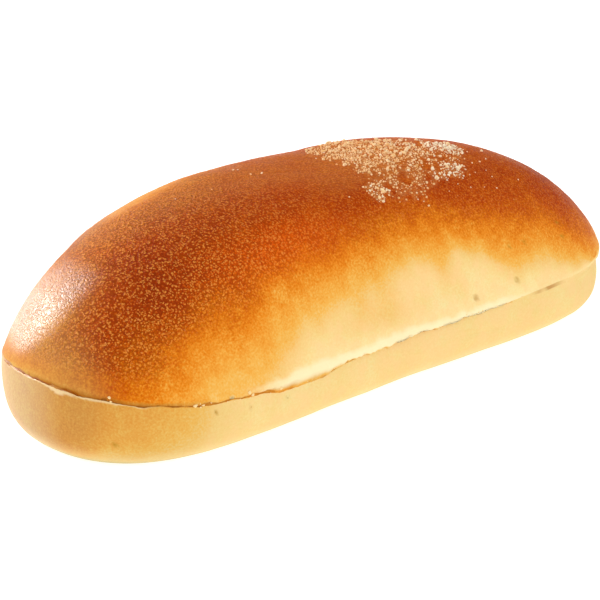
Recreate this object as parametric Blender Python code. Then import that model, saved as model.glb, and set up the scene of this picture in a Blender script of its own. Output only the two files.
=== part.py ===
"""A soft butter bun: a long golden roll whose domed top is parted from its low base by a torn crease.

One solid, in metres, +Z up. The roll lies along X with its taller, blunter end at -X. It rests on a flat spot
at Z = 0. The side at -Y has the lip that hangs over the base, and the coarse flour grains lie near the ridge.
"""

import math
import random

import bpy
import numpy as np
from mathutils import Matrix, Vector
from mathutils.bvhtree import BVHTree

MM = 0.001

# The outline at the crease, where the roll is widest
HALF_LENGTH = 67.0 * MM
HALF_WIDTH = 27.4 * MM
CREASE_END_POWER = 4.5
CREASE_SIDE_POWER = 2.13
BEND = 5.6 * MM
BEND_BALANCE = 0.32

# The crease climbs towards both ends
CREASE_HEIGHT = 9.5 * MM
NEAR_END_RISE = 4.9 * MM
FAR_END_RISE = 3.2 * MM

# The dome above the crease
DOME_RISE = 27.2 * MM
DOME_LEAN = -0.10
RIDGE_POWER = 3.48
RIDGE_SOFTNESS = 1.42
SIDE_TAPER = 1.065
TOP_END_POWER = 2.63
TOP_SIDE_POWER = 2.0

# A shallow dent runs across the ridge and down the -Y side, and leaves two soft humps
DENT_DEPTH = 0.4 * MM
DENT_X = 6.0 * MM
DENT_SLANT = 0.55
DENT_HALF_WIDTH = 10.0 * MM

# The base below the crease
BASE_BULGE = 0.7 * MM
FOOT_INSET = 4.35 * MM

# The torn crease. The dome's lower edge curls in to a groove, and the base's rim lies just below the groove.
EDGE_LIFT = 0.4 * MM
EDGE_FADE = 4.0
GROOVE_DEPTH = 0.4 * MM
RIM_DROP = 0.25 * MM
RIM_ROUND = 0.6 * MM
RIM_INNER = 0.3 * MM
CURL_ANGLES = (0.0, 40.0, 72.0, 90.0)
RIM_ANGLES = (12.0, 48.0, 90.0)
LIP_BLEND = 5.0 * MM
TEAR_STEP = 0.25 * MM
TEAR_PITCH = 3.4 * MM
TEAR_RUN = 4.6 * HALF_LENGTH

# The lip that hangs over the base in the middle of the -Y side
LIP_OVERHANG = 0.7 * MM
LIP_LIFT = 0.5 * MM
LIP_GROOVE = 0.3 * MM
LIP_X = -1.0 * MM
LIP_HALF_LENGTH = 42.0 * MM
FRONT_SIDE = (0.55, 0.95)

# At the near end the dome stands back from the rim
NEAR_SETBACK = 0.65 * MM
NEAR_BLEND = 13.0 * MM
NEAR_RIM = 0.6 * MM
NEAR_INNER = 0.4 * MM
NEAR_ROUND = 1.2 * MM
NEAR_GROOVE = 1.1 * MM
NEAR_SPAN = (18.0 * MM, 58.0 * MM)

# At the far end the dome bulges over a lower groove and a narrower rim
FAR_OVERHANG = 0.1 * MM
FAR_LIFT = -0.9 * MM
FAR_DROP = 2.1 * MM
FAR_RIM = -0.7 * MM
FAR_INNER = 0.6 * MM
FAR_GROOVE = 0.7 * MM
FAR_SPAN = (38.0 * MM, 56.0 * MM)

# Where the groove lies lower or higher along the -Y side: position, shift and reach
SIDE_DIPS = (
    (-26.0 * MM, -0.9 * MM, 13.0 * MM),
    (-5.0 * MM, 0.5 * MM, 13.0 * MM),
)

# The mesh: cells along and across the top, and the rings below it
CELLS_LONG = 60
CELLS_WIDE = 22
PATCH_EDGE = 0.80
DOME_RINGS = (0.86, 0.91, 0.948, 0.974, 0.9895, 0.9975)
BASE_RING_ANGLES = (20.0, 43.0, 67.0, 90.0)
OUTLINE_SAMPLES = 1440

# The coarse flour grains that lie near the ridge
GRAIN_COUNT = 80
GRAIN_PATCH = (23.0 * MM, -3.0 * MM)
GRAIN_PATCH_HALF = (19.0 * MM, 12.0 * MM)
GRAIN_PATCH_TURN = -36.0
GRAIN_SIZE = (0.6 * MM, 0.95 * MM)
GRAIN_GAP = 1.15 * MM
GRAIN_SUNK = 0.15
GRAIN_SPREAD = 0.6
GRAIN_WIDTH = (0.7, 0.95)
GRAIN_HEIGHT = 0.8
LARGEST_GRAINS = (
    (42.5 * MM, -4.8 * MM, 1.5 * MM),
    (36.5 * MM, -1.5 * MM, 1.2 * MM),
    (37.0 * MM, -9.5 * MM, 1.2 * MM),
    (7.5 * MM, -13.0 * MM, 1.2 * MM),
    (15.4 * MM, -17.2 * MM, 1.1 * MM),
    (-0.2 * MM, -12.2 * MM, 0.9 * MM),
    (43.1 * MM, -14.0 * MM, 0.8 * MM),
)

# A height clear above the roll
ABOVE = 0.1

CRUST_COLOUR = (0.72, 0.30, 0.07, 1.0)
CRUST_ROUGHNESS = 0.48
SHARP_FROM = 50.0


def clear_scene():
    for obj in list(bpy.data.objects):
        bpy.data.objects.remove(obj, do_unlink=True)


def smooth_step(value, start, end):
    """0 at start, 1 at end, level at both."""
    part = np.clip((value - start) / (end - start), 0.0, 1.0)
    return part * part * (3.0 - 2.0 * part)


def bump(value, centre, half_width):
    """1 at centre, falling smoothly to 0 at half_width from it."""
    return 1.0 - smooth_step(np.abs(value - centre), 0.0, half_width)


def outline(end_power, side_power, places):
    """Points of a unit superellipse at the given fractions of its length, counter-clockwise from +X."""
    angle = np.linspace(0.0, 2.0 * np.pi, OUTLINE_SAMPLES + 1)
    across = HALF_WIDTH / HALF_LENGTH
    x = np.sign(np.cos(angle)) * np.abs(np.cos(angle)) ** (2.0 / end_power)
    y = np.sign(np.sin(angle)) * np.abs(np.sin(angle)) ** (2.0 / side_power)
    run = np.concatenate([[0.0], np.cumsum(np.hypot(np.diff(x), np.diff(y) * across))])
    wanted = np.mod(places, 1.0) * run[-1]
    return np.interp(wanted, run, x), np.interp(wanted, run, y)


def crease_height(x):
    part = x / HALF_LENGTH
    rise = np.where(part < 0.0, NEAR_END_RISE, FAR_END_RISE)
    return CREASE_HEIGHT + rise * part**4


def bent(x, y):
    """The roll curves a little, with both ends towards -Y."""
    return y - BEND * ((x / HALF_LENGTH) ** 2 - BEND_BALANCE)


def torn(places, seed):
    """A ragged height along the crease, within one tear step."""
    count = int(TEAR_RUN / TEAR_PITCH)
    draw = random.Random(seed)
    steps = np.array([draw.uniform(-1.0, 1.0) for _ in range(count)])
    steps = np.append(steps, steps[0])
    return TEAR_STEP * np.interp(np.mod(places, 1.0) * count, np.arange(count + 1), steps)


def crease_line(places):
    """The crease at the given fractions of its length: its x and y, and a dictionary of its shape there."""
    x, y = outline(CREASE_END_POWER, CREASE_SIDE_POWER, places)
    x = x * HALF_LENGTH
    y = y * HALF_WIDTH
    front = smooth_step(-y / HALF_WIDTH, *FRONT_SIDE)
    near = smooth_step(-x, *NEAR_SPAN)
    far = smooth_step(x, *FAR_SPAN)
    middle = bump(x, LIP_X, LIP_HALF_LENGTH) * front
    dip = sum(shift * bump(x, centre, reach) for centre, shift, reach in SIDE_DIPS) * front
    shape = {
        "z": crease_height(x) + dip - FAR_DROP * far + torn(places, 5),
        "lift": EDGE_LIFT + LIP_LIFT * middle + FAR_LIFT * far,
        "lip": LIP_OVERHANG * middle + FAR_OVERHANG * far,
        "setback": NEAR_SETBACK * near,
        "rim": NEAR_RIM * near + FAR_RIM * far,
        "inner": RIM_INNER + NEAR_INNER * near + FAR_INNER * far,
        "round": RIM_ROUND + NEAR_ROUND * near,
        "groove": GROOVE_DEPTH + LIP_GROOVE * middle + NEAR_GROOVE * near + FAR_GROOVE * far,
    }
    return x, y, shape


def dome_ring(size, places):
    """x, y and z on the dome, where size is 1 at its lower edge and 0 at the middle of the ridge."""
    lift = math.sqrt(1.0 - size**RIDGE_POWER)
    end_power = CREASE_END_POWER + (TOP_END_POWER - CREASE_END_POWER) * lift
    side_power = CREASE_SIDE_POWER + (TOP_SIDE_POWER - CREASE_SIDE_POWER) * lift
    x, y = outline(end_power, side_power, places)
    x = x * size * HALF_LENGTH
    y = y * size**SIDE_TAPER * HALF_WIDTH
    height = lift**RIDGE_SOFTNESS
    slanted = x - DENT_X - DENT_SLANT * np.minimum(y, 0.0)
    dent = DENT_DEPTH * lift * np.exp(-((slanted / DENT_HALF_WIDTH) ** 2))
    rise = DOME_RISE * height * (1.0 + DOME_LEAN * x / HALF_LENGTH)
    edge = crease_line(places)[2]["lift"] * (1.0 - height) ** EDGE_FADE
    return x, y, crease_height(x) + rise - dent + edge


def ring_normals(x, y):
    """Outward normals of a closed ring of points."""
    along_x = np.roll(x, -1) - np.roll(x, 1)
    along_y = np.roll(y, -1) - np.roll(y, 1)
    length = np.hypot(along_x, along_y)
    return along_y / length, -along_x / length


def rings_below_patch(places):
    """All rings from the dome down to the foot, each as x, y and z."""
    edge_x, edge_y, shape = crease_line(places)
    normal_x, normal_y = ring_normals(edge_x, edge_y)
    _, _, edge_z = dome_ring(1.0, places)
    lip = shape["lip"] - shape["setback"]
    rings = []

    def add(x, y, z, out):
        rings.append((x + normal_x * out, y + normal_y * out, z))

    for size in DOME_RINGS:
        x, y, z = dome_ring(size, places)
        above = z - edge_z
        out = shape["lip"] * np.exp(-((above / LIP_BLEND) ** 2))
        add(x, y, z, out - shape["setback"] * np.exp(-((above / NEAR_BLEND) ** 2)))
    for degrees in CURL_ANGLES:
        turn = math.radians(degrees)
        out = (lip + shape["groove"]) * math.cos(turn) - shape["groove"]
        add(edge_x, edge_y, edge_z - (edge_z - shape["z"]) * math.sin(turn), out)
    rim = shape["rim"]
    for degrees in RIM_ANGLES:
        turn = math.radians(degrees)
        drop = RIM_DROP + shape["round"] * (1.0 - math.cos(turn)) + torn(places, 9) * math.cos(turn)
        add(edge_x, edge_y, shape["z"] - drop, (rim + shape["inner"]) * math.sin(turn) - shape["inner"])
    rim_z = shape["z"] - RIM_DROP - shape["round"]
    for degrees in BASE_RING_ANGLES:
        down = math.radians(degrees)
        out = BASE_BULGE * math.sin(2.0 * down) - FOOT_INSET * (1.0 - math.cos(down))
        level = 1.0 - math.sin(down)
        add(edge_x, edge_y, rim_z * level, out + rim * level)
    return rings


def patch_place(u, v):
    """Where the direction from the middle to the grid point (u, v) meets the ring, as a fraction of the ring."""
    count = 2.0 * (CELLS_LONG + CELLS_WIDE)
    half_long = CELLS_LONG / 2.0
    half_wide = CELLS_WIDE / 2.0
    if abs(u) >= abs(v):
        if u >= 0.0:
            step = half_wide * (v / u if u else 0.0)
        else:
            step = half_wide + CELLS_LONG + half_wide * (1.0 + v / u)
    elif v > 0.0:
        step = half_wide + half_long * (1.0 - u / v)
    else:
        step = half_wide + CELLS_LONG + CELLS_WIDE + half_long * (1.0 - u / v)
    return step / count


def patch_points():
    """The grid on top of the dome, as a dictionary from grid index to point."""
    by_size = {}
    for i in range(CELLS_LONG + 1):
        for j in range(CELLS_WIDE + 1):
            u = 2.0 * i / CELLS_LONG - 1.0
            v = 2.0 * j / CELLS_WIDE - 1.0
            size = round(max(abs(u), abs(v)), 9)
            by_size.setdefault(size, []).append((i, j, patch_place(u, v)))
    points = {}
    for size, cells in by_size.items():
        places = np.array([cell[2] for cell in cells])
        x, y, z = dome_ring(size * PATCH_EDGE, places)
        for index, (i, j, _) in enumerate(cells):
            points[i, j] = (x[index], bent(x[index], y[index]), z[index])
    return points


def patch_border():
    """Grid indices round the patch, in the order of the ring."""
    half = CELLS_WIDE // 2
    right = [(CELLS_LONG, j) for j in range(half, CELLS_WIDE)]
    back = [(i, CELLS_WIDE) for i in range(CELLS_LONG, 0, -1)]
    left = [(0, j) for j in range(CELLS_WIDE, 0, -1)]
    front = [(i, 0) for i in range(CELLS_LONG)]
    corner = [(CELLS_LONG, j) for j in range(half)]
    return right + back + left + front + corner


def roll_mesh():
    """Vertices and faces of the whole roll without its grains."""
    vertices = []
    faces = []
    number = {}
    for key, point in patch_points().items():
        number[key] = len(vertices)
        vertices.append(point)
    for i in range(CELLS_LONG):
        for j in range(CELLS_WIDE):
            faces.append((number[i, j], number[i + 1, j], number[i + 1, j + 1], number[i, j + 1]))
    above = [number[key] for key in patch_border()]
    count = len(above)
    places = np.arange(count) / count
    for x, y, z in rings_below_patch(places):
        below = list(range(len(vertices), len(vertices) + count))
        vertices += zip(x, bent(x, y), z)
        for a in range(count):
            b = (a + 1) % count
            faces.append((above[a], below[a], below[b], above[b]))
        above = below
    faces.append(tuple(reversed(above)))
    return vertices, faces


def crust_material():
    material = bpy.data.materials.new("crust")
    material.use_nodes = True
    shader = material.node_tree.nodes["Principled BSDF"]
    shader.inputs["Base Color"].default_value = CRUST_COLOUR
    shader.inputs["Roughness"].default_value = CRUST_ROUGHNESS
    return material


def mesh_object(name, vertices, faces):
    mesh = bpy.data.meshes.new(name)
    mesh.from_pydata(vertices, [], faces)
    mesh.update()
    obj = bpy.data.objects.new(name, mesh)
    return obj


def grain_places():
    """x, y and size of each grain: the largest where they stand out, the rest scattered over the patch."""
    draw = random.Random(17)
    turn = math.radians(GRAIN_PATCH_TURN)
    placed = list(LARGEST_GRAINS)
    while len(placed) < GRAIN_COUNT:
        angle = draw.uniform(0.0, 2.0 * math.pi)
        reach = draw.uniform(0.0, 1.0) ** GRAIN_SPREAD
        along = GRAIN_PATCH_HALF[0] * reach * math.cos(angle)
        across = GRAIN_PATCH_HALF[1] * reach * math.sin(angle)
        x = GRAIN_PATCH[0] + along * math.cos(turn) - across * math.sin(turn)
        y = GRAIN_PATCH[1] + along * math.sin(turn) + across * math.cos(turn)
        if all(math.hypot(x - other[0], y - other[1]) > GRAIN_GAP + other[2] / 2.0 for other in placed):
            placed.append((x, y, draw.uniform(*GRAIN_SIZE)))
    return placed


def grain_objects(roll):
    """Small many-sided grains, each sunk a little into the dome."""
    tree = BVHTree.FromPolygons([v.co for v in roll.data.vertices], [p.vertices for p in roll.data.polygons])
    draw = random.Random(23)
    collection = bpy.data.collections.new("grains")
    for x, y, size in grain_places():
        spot, normal, _, _ = tree.ray_cast(Vector((x, y, ABOVE)), Vector((0.0, 0.0, -1.0)))
        grain = mesh_object("grain", *GRAIN_SHAPE)
        tilt = normal.to_track_quat("Z", "Y").to_matrix().to_4x4()
        spin = Matrix.Rotation(draw.uniform(0.0, 2.0 * math.pi), 4, "Z")
        half = size / 2.0
        form = Matrix.Diagonal((half, half * draw.uniform(*GRAIN_WIDTH), half * GRAIN_HEIGHT, 1.0))
        grain.data.transform(Matrix.Translation(spot + normal * size * GRAIN_SUNK) @ tilt @ spin @ form)
        collection.objects.link(grain)
    return collection


def icosahedron():
    """Vertices and faces of a 20-sided solid of radius 1."""
    golden = (1.0 + math.sqrt(5.0)) / 2.0
    scale = math.hypot(1.0, golden)
    corners = []
    for one in (-1.0, 1.0):
        for long in (-golden, golden):
            corners += [(0.0, one, long), (one, long, 0.0), (long, 0.0, one)]
    corners = [tuple(value / scale for value in corner) for corner in corners]
    edge = 2.0 / scale * 1.01
    faces = []
    for a in range(12):
        for b in range(a + 1, 12):
            for c in range(b + 1, 12):
                trio = [Vector(corners[index]) for index in (a, b, c)]
                sides = [(trio[0] - trio[1]).length, (trio[1] - trio[2]).length, (trio[2] - trio[0]).length]
                if max(sides) < edge:
                    outward = (trio[1] - trio[0]).cross(trio[2] - trio[0]).dot(trio[0]) > 0.0
                    faces.append((a, b, c) if outward else (a, c, b))
    return corners, faces


GRAIN_SHAPE = icosahedron()


def fuse(obj, collection):
    """One union with every object of the collection, applied, after which those objects are removed."""
    modifier = obj.modifiers.new("fuse", "BOOLEAN")
    modifier.operation = "UNION"
    modifier.operand_type = "COLLECTION"
    modifier.collection = collection
    modifier.solver = "EXACT"
    graph = bpy.context.evaluated_depsgraph_get()
    joined = bpy.data.meshes.new_from_object(obj.evaluated_get(graph))
    obj.modifiers.clear()
    obj.data = joined
    for helper in list(collection.objects):
        bpy.data.objects.remove(helper, do_unlink=True)
    bpy.data.collections.remove(collection)


def build():
    clear_scene()
    bun = mesh_object("bun", *roll_mesh())
    bpy.context.scene.collection.objects.link(bun)
    bun.data.materials.append(crust_material())
    fuse(bun, grain_objects(bun))
    bun.data.shade_smooth()
    bun.data.set_sharp_from_angle(angle=math.radians(SHARP_FROM))
    bun.data.name = "bun"
    low = [min(vertex.co[axis] for vertex in bun.data.vertices) for axis in range(3)]
    high = [max(vertex.co[axis] for vertex in bun.data.vertices) for axis in range(3)]
    shift = Vector((-(low[0] + high[0]) / 2.0, -(low[1] + high[1]) / 2.0, -low[2]))
    bun.data.transform(Matrix.Translation(shift))
    size = [round((high[axis] - low[axis]) / MM, 2) for axis in range(3)]
    bun.data.calc_loop_triangles()
    print("bun size in mm", size, "shift in mm", [round(value / MM, 3) for value in shift])
    print("bun triangles", len(bun.data.loop_triangles))


build()
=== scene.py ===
# %% [markdown]
# # A soft butter bun
# The object is one long soft roll: a browned, domed top parted by a torn crease from a low, pale base, with
# a dusting of coarse flour near the ridge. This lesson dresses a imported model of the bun, which holds its
# size and its solid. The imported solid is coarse, so here the same form is made again with a mesh fine enough
# for torn edges and blisters. After that come the colours of the crust, the flour grains and the light.

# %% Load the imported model
import math
import random

import bmesh
import bpy
import numpy as np
from mathutils import Matrix, Vector, noise
from mathutils.bvhtree import BVHTree


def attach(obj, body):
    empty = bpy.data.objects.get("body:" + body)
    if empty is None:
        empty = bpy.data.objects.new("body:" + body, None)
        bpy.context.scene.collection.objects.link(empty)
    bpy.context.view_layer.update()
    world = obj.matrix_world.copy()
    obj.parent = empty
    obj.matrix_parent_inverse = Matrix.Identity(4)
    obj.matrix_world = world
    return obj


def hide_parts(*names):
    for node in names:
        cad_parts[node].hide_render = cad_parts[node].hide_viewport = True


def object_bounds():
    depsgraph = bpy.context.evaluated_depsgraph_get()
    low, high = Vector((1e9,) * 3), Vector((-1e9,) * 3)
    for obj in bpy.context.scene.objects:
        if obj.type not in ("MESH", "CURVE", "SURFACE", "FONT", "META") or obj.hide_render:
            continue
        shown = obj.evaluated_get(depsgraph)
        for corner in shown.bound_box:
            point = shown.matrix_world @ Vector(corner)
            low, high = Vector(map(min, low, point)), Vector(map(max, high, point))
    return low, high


MM = 0.001
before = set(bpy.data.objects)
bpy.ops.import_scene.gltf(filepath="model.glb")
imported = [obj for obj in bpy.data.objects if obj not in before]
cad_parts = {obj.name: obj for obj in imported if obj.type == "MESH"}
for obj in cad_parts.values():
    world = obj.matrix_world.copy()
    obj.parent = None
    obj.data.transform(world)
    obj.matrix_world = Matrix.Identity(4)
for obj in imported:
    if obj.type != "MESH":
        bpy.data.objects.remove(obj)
cad_low, cad_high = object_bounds()
print("packed size in mm", [round((high - low) / MM, 1) for low, high in zip(cad_low, cad_high)])

# %% [markdown]
# ## The outline of the roll
# Seen from above, a soft roll is a long rounded form, blunter than an ellipse. A superellipse describes it
# with two powers, one for the ends and one for the sides. The crease between dome and base is the widest
# line, so everything is measured from it. A second bend curves both ends a little towards the front.

# %% Sizes of the outline and the crease
HALF_LENGTH = 67.0 * MM
HALF_WIDTH = 27.4 * MM
CREASE_END_POWER = 4.5
CREASE_SIDE_POWER = 2.13
BEND = 5.6 * MM
BEND_BALANCE = 0.32
CREASE_HEIGHT = 9.5 * MM
NEAR_END_RISE = 4.9 * MM
FAR_END_RISE = 3.2 * MM
OUTLINE_SAMPLES = 4000
RING_TEST_POINTS = 400


def smooth_step(value, start, end):
    """0 at start, 1 at end, level at both."""
    part = np.clip((value - start) / (end - start), 0.0, 1.0)
    return part * part * (3.0 - 2.0 * part)


def bump(value, centre, half_width):
    """1 at centre, falling smoothly to 0 at half_width from it."""
    return 1.0 - smooth_step(np.abs(value - centre), 0.0, half_width)


def span(value, start, end, fade):
    """1 between start and end, with soft ends."""
    return smooth_step(value, start - fade, start + fade) * (1.0 - smooth_step(value, end - fade, end + fade))


def outline(end_power, side_power, places):
    """Points of a unit superellipse at the given fractions of its length, counter-clockwise from +X."""
    angle = np.linspace(0.0, 2.0 * np.pi, OUTLINE_SAMPLES + 1)
    x = np.sign(np.cos(angle)) * np.abs(np.cos(angle)) ** (2.0 / end_power)
    y = np.sign(np.sin(angle)) * np.abs(np.sin(angle)) ** (2.0 / side_power)
    steps = np.hypot(np.diff(x), np.diff(y) * (HALF_WIDTH / HALF_LENGTH))
    run = np.concatenate([[0.0], np.cumsum(steps)])
    wanted = np.mod(places, 1.0) * run[-1]
    return np.interp(wanted, run, x), np.interp(wanted, run, y)


def crease_height(x):
    part = x / HALF_LENGTH
    return CREASE_HEIGHT + np.where(part < 0.0, NEAR_END_RISE, FAR_END_RISE) * part**4


def bent(x, y):
    """The roll curves a little, with both ends towards -Y."""
    return y - BEND * ((x / HALF_LENGTH) ** 2 - BEND_BALANCE)


around = np.linspace(0.0, 1.0, RING_TEST_POINTS)
crease_x, crease_y = outline(CREASE_END_POWER, CREASE_SIDE_POWER, around)
crease_run = np.hypot(np.diff(crease_x * HALF_LENGTH), np.diff(crease_y * HALF_WIDTH)).sum()
print("the crease runs", round(crease_run / MM), "mm round the bun")

# %% [markdown]
# ## The torn crease
# The dough rises faster than its skin stretches, so the skin tears in a line above the base. At the near end
# the tear is a thin dark crack. In the middle of the front the dome rolls over the base in a soft pale lip.
# One table gives what each amount is everywhere and what the lip and both ends add. The ragged edge comes
# on top, as short straight steps of random height.

# %% Amounts along the crease
# In mm: everywhere, and what the lip, the near end and the far end add
CREASE_AMOUNTS = {
    "lift": (0.13, 0.5, 0.10, -0.9),
    "lip": (0.0, 0.7, 0.0, 0.1),
    "setback": (0.0, 0.0, 0.12, 0.0),
    "rim": (0.0, 0.0, 0.02, -0.7),
    "inner": (0.15, 0.0, 0.0, 0.6),
    "groove": (0.25, -0.2, 0.10, 0.7),
}
LIP_OVERHANG = CREASE_AMOUNTS["lip"][1] * MM
LIP_X = -1.0 * MM
LIP_HALF_LENGTH = 42.0 * MM
LIP_JAGS = 1.2
FRONT_SIDE = (0.55, 0.95)
NEAR_SPAN = (18.0 * MM, 58.0 * MM)
FAR_SPAN = (38.0 * MM, 56.0 * MM)
FAR_DROP = 2.1 * MM
RIM_DROP = 0.08 * MM
RIM_ROUND = 0.15 * MM
RIM_TEARS = 0.5
# Where the crease sinks or rises along the front, in mm: the place, the amount and the reach
SIDE_DIPS = ((-25.0, -1.3, 15.0), (1.0, 0.7, 14.0), (24.0, 0.6, 16.0))
TEAR_RUN = 4.6 * HALF_LENGTH
COARSE_TEARS = ((3.4 * MM, 0.25 * MM),)
FINE_TEARS = ((2.2 * MM, 0.20 * MM), (1.1 * MM, 0.17 * MM), (0.55 * MM, 0.12 * MM))


def torn(places, seed, tears=COARSE_TEARS):
    """Straight steps of random height along the crease. Each kind of tear is a pitch and a height."""
    total = 0.0
    for index, (pitch, height) in enumerate(tears):
        count = int(TEAR_RUN / pitch)
        draw = random.Random(seed + index)
        heights = np.array([draw.uniform(-1.0, 1.0) for _ in range(count)])
        heights = np.append(heights, heights[0])
        total = total + height * np.interp(np.mod(places, 1.0) * count, np.arange(count + 1), heights)
    return total


def frayed(places, seed):
    """The finer raggedness that a coarse mesh can't hold."""
    return torn(places, seed, FINE_TEARS)


def crease_line(places):
    """The crease at the given fractions of its length: its x and y, and a dictionary of its shape there."""
    x, y = outline(CREASE_END_POWER, CREASE_SIDE_POWER, places)
    x = x * HALF_LENGTH
    y = y * HALF_WIDTH
    front = smooth_step(-y / HALF_WIDTH, *FRONT_SIDE)
    near = smooth_step(-x, *NEAR_SPAN)
    far = smooth_step(x, *FAR_SPAN)
    shares = (1.0, bump(x, LIP_X, LIP_HALF_LENGTH) * front, near, far)
    shape = {
        name: MM * sum(amount * share for amount, share in zip(amounts, shares))
        for name, amounts in CREASE_AMOUNTS.items()
    }
    dip = sum(amount * bump(x / MM, place, reach) for place, amount, reach in SIDE_DIPS) * front
    shape["z"] = crease_height(x) + dip * MM - FAR_DROP * far + torn(places, 5)
    return x, y, shape


crease_z = crease_line(around)[2]["z"]
print("the crease lies", [round(float(value) / MM, 1) for value in (crease_z.min(), crease_z.max())], "mm up")

# %% [markdown]
# ## The dome
# The dome is a stack of nested outlines. As the outline shrinks from 1 at the crease to 0 on the ridge, its
# height rises along one power curve, which makes the shoulders full and the ridge flat. It could be sculpted
# too, but a curve with named powers can be fitted one value at a time.

# %% Sizes of the dome
DOME_RISE = 27.2 * MM
DOME_LEAN = -0.10
RIDGE_POWER = 3.48
RIDGE_SOFTNESS = 1.42
SIDE_TAPER = 1.065
TOP_END_POWER = 2.63
TOP_SIDE_POWER = 2.0
DENT_DEPTH = 0.4 * MM
DENT_X = 6.0 * MM
DENT_SLANT = 0.55
DENT_HALF_WIDTH = 10.0 * MM
EDGE_FADE = 4.0
LIP_BLEND = 5.0 * MM
NEAR_BLEND = 13.0 * MM
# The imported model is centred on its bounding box, and this is how far that moved the form
CENTRING = (0.25 * MM, -1.299 * MM)


def dome_ring(size, places):
    """x, y and z on the dome, where size is 1 at its lower edge and 0 at the middle of the ridge."""
    lift = math.sqrt(1.0 - size**RIDGE_POWER)
    end_power = CREASE_END_POWER + (TOP_END_POWER - CREASE_END_POWER) * lift
    side_power = CREASE_SIDE_POWER + (TOP_SIDE_POWER - CREASE_SIDE_POWER) * lift
    x, y = outline(end_power, side_power, places)
    x = x * size * HALF_LENGTH
    y = y * size**SIDE_TAPER * HALF_WIDTH
    height = lift**RIDGE_SOFTNESS
    slanted = x - DENT_X - DENT_SLANT * np.minimum(y, 0.0)
    dent = DENT_DEPTH * lift * np.exp(-((slanted / DENT_HALF_WIDTH) ** 2))
    rise = DOME_RISE * height * (1.0 + DOME_LEAN * x / HALF_LENGTH)
    edge = crease_line(places)[2]["lift"] * (1.0 - height) ** EDGE_FADE
    return x, y, crease_height(x) + rise - dent + edge


def outward(x, y):
    """Outward normals of a closed ring of points."""
    along_x = np.roll(x, -1) - np.roll(x, 1)
    along_y = np.roll(y, -1) - np.roll(y, 1)
    length = np.hypot(along_x, along_y)
    return np.array([along_y / length, -along_x / length])


def pushed_out(x, y, z, normals, out):
    return np.array([x + normals[0] * out, y + normals[1] * out, z])


def shoulder_ring(size, places):
    """One ring of the dome's shoulder, swelling out into the lip just above its edge."""
    edge_x, edge_y, shape = crease_line(places)
    x, y, z = dome_ring(size, places)
    above = z - dome_ring(1.0, places)[2]
    out = shape["lip"] * np.exp(-((above / LIP_BLEND) ** 2))
    out -= shape["setback"] * np.exp(-((above / NEAR_BLEND) ** 2))
    return pushed_out(x, y, z, outward(edge_x, edge_y), out)


def edge_height(places):
    """The ragged lower edge of the dome."""
    return dome_ring(1.0, places)[2] + frayed(places, 31)


ridge_z = dome_ring(0.0, np.array([0.0]))[2]
print("the ridge is", round(float(ridge_z[0]) / MM, 1), "mm high in the middle")

# %% [markdown]
# ## The tear and the base
# From its ragged edge the skin curls into the tear and out again to the rim of the base. The base is a short
# wall that rounds in to the flat foot that the bun was baked on. On the far part of the front the tear has
# closed again, so there its rings are drawn almost flush with the dome above and the base below.

# %% Rings of the tear and the base
CURL_ANGLES = (0.0, 14.0, 30.0, 46.0, 62.0, 78.0, 90.0)
RIM_ANGLES = (8.0, 22.0, 40.0, 60.0, 78.0, 90.0)
BASE_RINGS = 22
UPPER_BASE = (0.012, 0.028)
BASE_BULGE = 0.7 * MM
FOOT_INSET = 4.35 * MM
PATCH_EDGE = 0.80
SHOULDER_RINGS = 28
# Where the tear has closed again, from and to along the bun, and how nearly flush it is
CLOSED_SPAN = (29.0 * MM, 58.0 * MM)
CLOSED_FADE = 5.0 * MM
CLOSED = 0.9


def rim_tears(places):
    return RIM_TEARS * (torn(places, 9) + frayed(places, 51))


def rim_height(places):
    """The ragged upper edge of the base."""
    return crease_line(places)[2]["z"] - RIM_DROP - rim_tears(places)


def base_ring(part, places):
    """One ring of the base, from 0 at its rim to 1 at the foot."""
    edge_x, edge_y, shape = crease_line(places)
    turn = math.radians(90.0 * part)
    level = 1.0 - math.sin(turn)
    out = BASE_BULGE * math.sin(2.0 * turn) - FOOT_INSET * (1.0 - math.cos(turn)) + shape["rim"] * level
    z = (shape["z"] - RIM_DROP - RIM_ROUND) * level
    return pushed_out(edge_x, edge_y, z, outward(edge_x, edge_y), out)


def shoulder_sizes():
    """Sizes of the dome's rings, closer together where the dome turns down to its edge."""
    part = np.linspace(0.0, 1.0, SHOULDER_RINGS + 2)[1:-1]
    lift = (1.0 - PATCH_EDGE**RIDGE_POWER) ** (RIDGE_SOFTNESS / 2.0) * (1.0 - part)
    return (1.0 - lift ** (2.0 / RIDGE_SOFTNESS)) ** (1.0 / RIDGE_POWER)


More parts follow.
